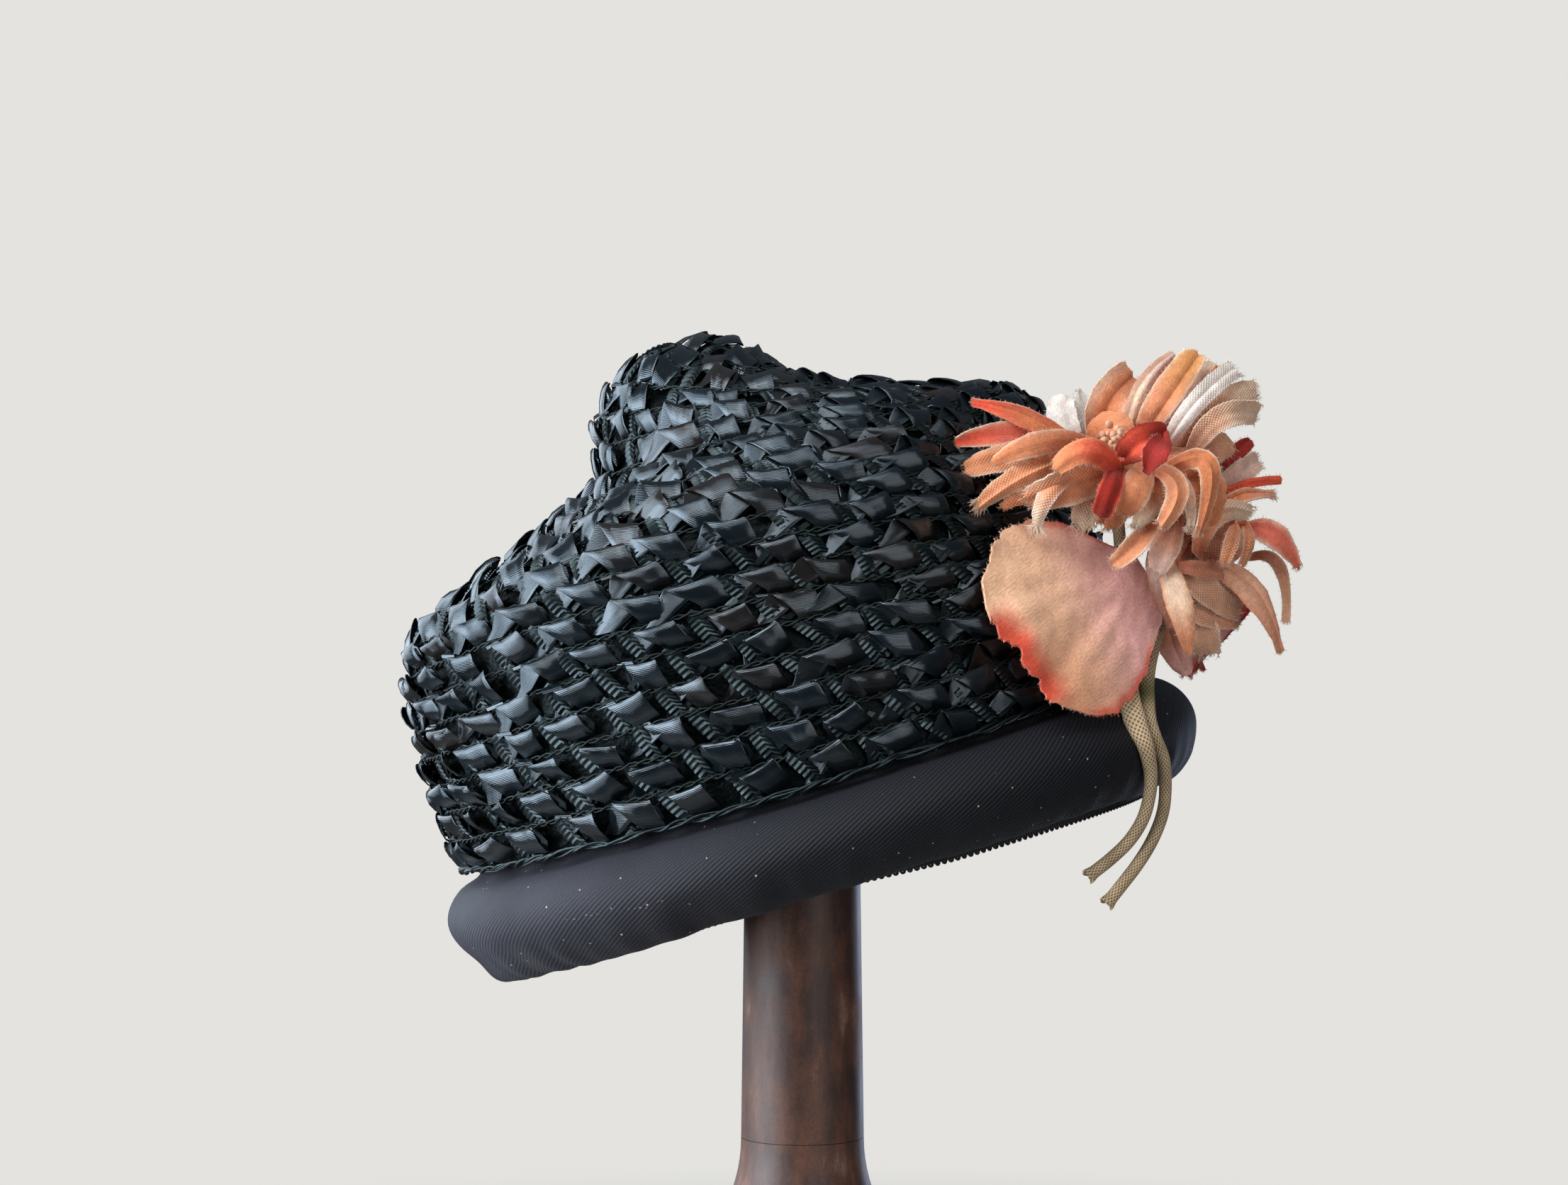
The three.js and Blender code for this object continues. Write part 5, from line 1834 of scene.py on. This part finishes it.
@dataclass
class Leaf:
    """A broad velvet leaf with a cut edge and folds that fan from its foot."""

    name: str
    node: str
    base: Triple
    reach: Triple
    half: Triple
    cup: float
    left: Outline
    right: Outline
    seed: int
    cloth: float = 0.7
    rows: int = 46
    columns: int = 41
    folds: float = 0.28
    fibres: int = 620

    def build(self, velvet: Material) -> None:
        """Makes the leaf and the loose fibres on its edge.

        Args:
            velvet: The leaf's finish.
        """
        rng = np.random.default_rng(self.seed)
        u = np.linspace(0, 1, self.rows)[:, None]
        s = np.linspace(1, -1, self.columns)[None, :]
        along, across = self._outline(rng, u, s)
        reach, half = np.array(self.reach), np.array(self.half)
        face = unit(np.cross(reach, half))
        fan = np.arctan2(across, along + 0.08)
        ripple = np.cos(9 * fan + 1.2) + 0.7 * np.cos(15 * fan + self.seed) + 0.5 * np.cos(23 * fan)
        bow = self.cup * (0.5 - across**2) + self.folds * ripple * smooth_step(0.05, 0.6, along)
        points = np.array(self.base) + along[..., None] * reach + across[..., None] * half
        points = points + bow[..., None] * face
        flat = points.reshape(-1, 3)
        crinkle = 1.3 * rough(flat, 11, self.seed) + 0.4 * rough(flat * [1.6, 1, 0.8], 3.6, self.seed + 1)
        points = points + face * crinkle.reshape(bow.shape)[..., None]
        front = self._dye(along, across, u + 0 * s, s + 0 * u)
        back = 0.6 * front + 0.4 * BEIGE.tone()
        uv = np.stack([along * np.linalg.norm(reach), across * np.linalg.norm(half)], axis=-1)
        plain = np.zeros_like(along)
        surface = sheet(points, self.cloth, uv, {"weave": (plain, plain + 0.8)}, (front, back))
        piece = ready(surface.make(f"{self.name}_cloth", velvet), [self.node])
        fuzz = ready(self._fuzz(rng, points, front, velvet))
        cut = surface.area() / 2 * MM * MM

    def _outline(self, rng: Random, u: Array, s: Array) -> tuple[Array, Array]:
        """The leaf's grid along and across, with its edge cut unevenly.

        Args:
            rng: Source of the unevenness.
            u: Rows from the foot to the end.
            s: Columns from the left edge to the right one.
        Returns:
            Places along and across, as shares of the reach and of the half width.
        """
        left, right = np.array(self.left), np.array(self.right)
        stretch = np.where(s > 0, left[-1, 0], right[-1, 0])
        lobes = 0.018 * np.sin(9 * s + 2.0) + 0.012 * np.sin(21 * s) + 0.006 * rng.standard_normal(s.shape)
        along = u * (stretch + lobes * smooth_step(0.75, 1.0, u))
        on_left, on_right = [np.interp(along, edge[:, 0], edge[:, 1]) for edge in (left, right)]
        side = np.where(s > 0, on_left, on_right)
        cut = 1 + (0.008 * rng.standard_normal(u.shape) + 0.012 * np.sin(38 * u)) * np.abs(s) ** 6
        return along, side * s * cut

    def _dye(self, along: Array, across: Array, u: Array, s: Array) -> Array:
        """The front's dye at each grid point."""
        raise NotImplementedError

    def _fuzz(self, rng: Random, points: Array, tint: Array, velvet: Material) -> Object:
        """Loose fibres round the edge."""
        count = self.fibres
        row, column = rng.integers(2, self.rows, count), rng.integers(0, self.columns, count)
        kind = rng.integers(0, 3, count)
        row = np.where(kind == 0, self.rows - 1, row)
        column = np.where(kind == 1, 0, np.where(kind == 2, self.columns - 1, column))
        down, over = unit(np.gradient(points, axis=0)), unit(np.gradient(points, axis=1))
        sideways = over[row, column] * np.where(kind == 1, -1, 1)[:, None]
        away = np.where((kind == 0)[:, None], down[row, column], sideways)
        outward = unit(np.cross(down, over))[row, column]
        size = rng.uniform(0.2, 0.45, (count, 1)) * np.ones((1, 3))
        shade = 0.8 * tint[row, column] + 0.2 * PALE.tone()
        bend, gloss = rng.integers(0, 2, count), rng.random(count)
        sites = Sites(points[row, column], away, outward, size, bend, gloss, shade)
        return sites.grow(f"{self.name}_fibres", [hair(0.4), hair(-0.7)], velvet, (20, 25, 35), 60)


class FrontLeaf(Leaf):
    """The broad leaf that faces the viewer: beige, flushed pink towards the foot, red at the end."""

    def _dye(self, along: Array, across: Array, u: Array, s: Array) -> Array:
        """The front's dye at each grid point.

        Args:
            along: Places along, as shares of the reach.
            across: Places across, as shares of the half width.
            u: Rows from 0 to 1.
            s: Columns from 1 to -1.
        Returns:
            Linear colours on the grid.
        """
        flush = 0.95 * smooth_step(0.78, 0.2, along + 0.22 * across)
        warm = 0.5 * smooth_step(0.5, -0.5, across) * smooth_step(0.4, 1.0, along)
        rim = smooth_step(0.8, 0.97, u) * smooth_step(0.62, 0.42, across) * smooth_step(-0.62, -0.35, across)
        right = 0.9 * smooth_step(-0.86, -0.98, s) * smooth_step(0.2, 0.35, along)
        right = right * smooth_step(1.0, 0.8, along)
        upper = 0.8 * smooth_step(0.8, 1.0, s) * smooth_step(0.55, 0.25, along)
        tone = np.broadcast_to(PALE.tone() * [1.0, 0.82, 0.71], (*along.shape, 3))
        red = np.maximum(rim, np.maximum(right, upper))
        for dye, share in ((PINK, flush), (ORANGE, warm), (CORAL, red)):
            tone = tone * (1 - share[..., None]) + dye.tone() * share[..., None]
        return tone


class BackLeaf(Leaf):
    """The leaf behind: dusty pink with a dark red cut edge and tip."""

    def _dye(self, along: Array, across: Array, u: Array, s: Array) -> Array:
        """The front's dye at each grid point, as for the front leaf."""
        rim = np.maximum(smooth_step(0.72, 0.95, np.abs(s)), smooth_step(0.82, 0.98, u))
        tone = np.broadcast_to(PINK.tone() * 0.85, (*along.shape, 3))
        return tone * (1 - rim[..., None]) + CRIMSON.tone() * rim[..., None]


@dataclass
class Stem:
    """A wire stem in a knitted tube that is flattened where it leaves the flower."""

    name: str
    node: str
    path: tuple[Triple, ...]
    widths: Outline
    stain: Pair
    radius: float = 1.7
    steps: int = 130
    sides: int = 20

    def build(self, wrap: Material) -> None:
        """Makes the tube with its open, frayed cut end.

        Args:
            wrap: The knitted finish.
        """
        line = spline(np.array(self.path), self.steps)
        run = unit(np.gradient(line, axis=0))
        side = unit(np.cross(run, [0, 1, 0]))
        face = np.cross(side, run)
        wide = np.array(self.widths)[::-1]
        half = np.interp(line[:, 2], wide[:, 0], wide[:, 1]) / 2
        length = lengths(line)
        flare = 1 + 0.22 * smooth_step(length[-1] - 2.2, length[-1], length)
        turn = circle(self.sides)
        depth = np.minimum(self.radius, 1.25 * self.radius**2 / half)
        around = side[:, None] * (np.cos(turn) * (half * flare)[:, None])[..., None]
        around = around + face[:, None] * (np.sin(turn) * (depth * flare)[:, None])[..., None]
        rings = line[:, None] + around
        lip = 0.45 * (np.sin(3 * turn + 1) + 0.6 * np.sin(7 * turn))[:, None] * run[-1]
        rings[-1] += lip
        mouth = line[-1] + 0.72 * around[-1] + 0.6 * lip
        inside = line[-1] - 1.6 * run[-1] + 0.6 * around[-1]
        rings = np.concatenate([rings, mouth[None], inside[None]])
        length = np.concatenate([length, [length[-1] + 0.5, length[-1] + 2]])
        girth = np.linspace(0, 2 * math.pi * self.radius, self.sides + 1)
        uv = np.stack(np.meshgrid(length, girth, indexing="ij"), axis=-1)
        surface = tube_grid(rings[:, ::-1], uv, cap=True)
        height = surface.points[:, 2]
        surface.floats["stain"] = np.exp(-(((height - self.stain[0]) / self.stain[1]) ** 2)) * 0.75
        ready(surface.make(f"{self.name}_wrap", wrap), [self.node])


@dataclass
class Spray:
    """Two velvet flowers, two leaves, their stems and the cluster of stamens."""

    stamens: int = 30
    heart: Triple = (82.8, -59.0, 254.8)
    spread: Triple = (4.2, 3.0, 3.8)
    golden_turn: float = 2.39996
    bead: float = 1.05

    def build(self) -> None:
        """Makes every piece of the spray."""
        velvet = Velvet("cut cotton velvet", 0.85, 0.25, 0.35, "#FFE9DA").build()
        for flower in FLOWERS:
            flower.build(velvet)
        self._stamens(velvet)
        soft = {"nap": 0.6, "mottle": 6.0, "blotch": (0.86, 1.1), "grain": (0.8, 1.14)}
        combed = Velvet("combed leaf velvet", 0.85, 0.25, 0.4, "#FFEDE2", **soft).build()
        for leaf in self._leaves():
            leaf.build(combed)
        wrap = KnitWrap("knitted stem wrap", 0.85, 0.25).build()
        for stem in self._stems():
            stem.build(wrap)

    @staticmethod
    def _leaves() -> list[Leaf]:
        """The two leaves with their outlines."""
        front = FrontLeaf(
            "front_leaf",
            "leaf_front",
            (90.2, -47.6, 221.6),
            (-31.6, -28.7, -24.6),
            (-17.2, -2.7, 22.1),
            -2.5,
            ((0, 0.08), (0.05, 0.22), (0.12, 0.43), (0.24, 0.79), (0.37, 0.98), (0.52, 1.07))
            + ((0.68, 1.06), (0.79, 0.94), (0.89, 0.86), (0.96, 0.7), (1.02, 0.6), (1.05, 0.5)),
            ((0, 0.3), (0.04, 0.4), (0.12, 0.56), (0.26, 0.67), (0.42, 0.83), (0.54, 0.9))
            + ((0.72, 0.93), (0.86, 0.84), (0.97, 0.64), (1.06, 0.51)),
            3,
        )
        back = BackLeaf(
            "back_leaf",
            "leaf_back",
            (99.2, -35.4, 221.5),
            (11, 3, -28),
            (-16.5, -2, -6.5),
            2,
            ((0, 0.08), (0.1, 0.3), (0.25, 0.45), (0.42, 0.54))
            + ((0.58, 0.46), (0.75, 0.34), (0.9, 0.36), (0.98, 0.39)),
            ((0, 0.08), (0.12, 0.55), (0.35, 0.93), (0.5, 1.0), (0.64, 0.98))
            + ((0.72, 0.75), (0.8, 0.46), (0.87, 0.15), (0.98, -0.3)),
            6,
        )
        return [front, back]

    @staticmethod
    def _stems() -> list[Stem]:
        """The two stems, from the flowers down to their cut ends."""
        upper = Stem(
            "upper_stem",
            "stem_upper",
            ((82.7, -45, 250.9), (84.8, -44.5, 234.8), (86, -45.5, 217.6), (86.4, -51.6, 200.5))
            + ((86.7, -57, 187.4), (88.1, -60.3, 179.9), (90.8, -60.2, 173.3), (92.4, -56.5, 166.2))
            + ((92.1, -55.5, 160.1), (90.4, -55, 154), (86.8, -55, 148.3))
            + ((81.6, -56.5, 143.5), (75.6, -58, 139)),
            ((260, 3.4), (200, 3.4), (190, 5.0), (181, 6.2), (175, 4.8), (168, 3.8), (160, 3.5), (130, 3.5)),
            (150, 0.1),
        )
        lower = Stem(
            "lower_stem",
            "stem_lower",
            ((104.9, -36.5, 227.8), (99.5, -38, 215.8), (95, -44, 202.3), (92.1, -50, 190.9))
            + ((91.9, -55, 182.2), (93.5, -56.5, 176.2), (96.1, -53.5, 170), (96.9, -51, 162.7))
            + ((96.3, -50, 155.6), (93.5, -51, 148.5), (89.3, -53, 142))
            + ((83.9, -56, 135.6), (80.6, -57, 131.7)),
            ((240, 3.4), (195, 3.8), (186, 4.4), (178, 3.6), (160, 3.4), (120, 3.6)),
            (188, 3.5),
        )
        return [upper, lower]

    def _stamens(self, finish: Material) -> None:
        """A cluster of small beads at the upper flower's heart."""
        rng = np.random.default_rng(4)
        turn = np.arange(self.stamens) * self.golden_turn
        reach = np.sqrt((np.arange(self.stamens) + 0.5) / self.stamens)
        spot = np.stack([reach * np.cos(turn), -0.6 * (1 - reach**2), reach * np.sin(turn)], axis=1)
        places = np.array(self.heart) + spot * self.spread + 0.4 * rng.standard_normal(spot.shape)
        rings = np.radians([-78, -45, 0, 45, 78])
        flat = round_points(8)
        ball = np.array([math.cos(a) * flat + [0, 0, math.sin(a)] for a in rings])
        bead = tube_grid(ball * self.bead, np.zeros((5, 9, 2)), cap=True)
        tone = 0.5 * PEACH.tone() + 0.5 * PALE.tone()
        tint = np.array([tone * rng.uniform(0.75, 1.05) for _ in range(self.stamens)])
        ahead = np.tile([0.0, -1.0, 0.0], (self.stamens, 1))
        size = rng.uniform(0.75, 1.15, (self.stamens, 1)) * np.array([[1, 1, 1.3]])
        sites = Sites(places, np.tile([1.0, 0, 0], (self.stamens, 1)), ahead, size, 0 * turn, 0 * turn, tint)
        ready(sites.grow("stamens", [bead], finish, (30, 30, 180), 80))


def main() -> None:
    """Builds every piece in order."""
    logging.basicConfig(level=logging.INFO, format="%(name)s: %(message)s")
    Studio().build()
    hat = HatShape()
    Stand().build()
    Braid(hat).build()
    Band(hat).build()
    Sweatband(hat).build()
    Spray().build()


if __name__ == "__main__":
    main()
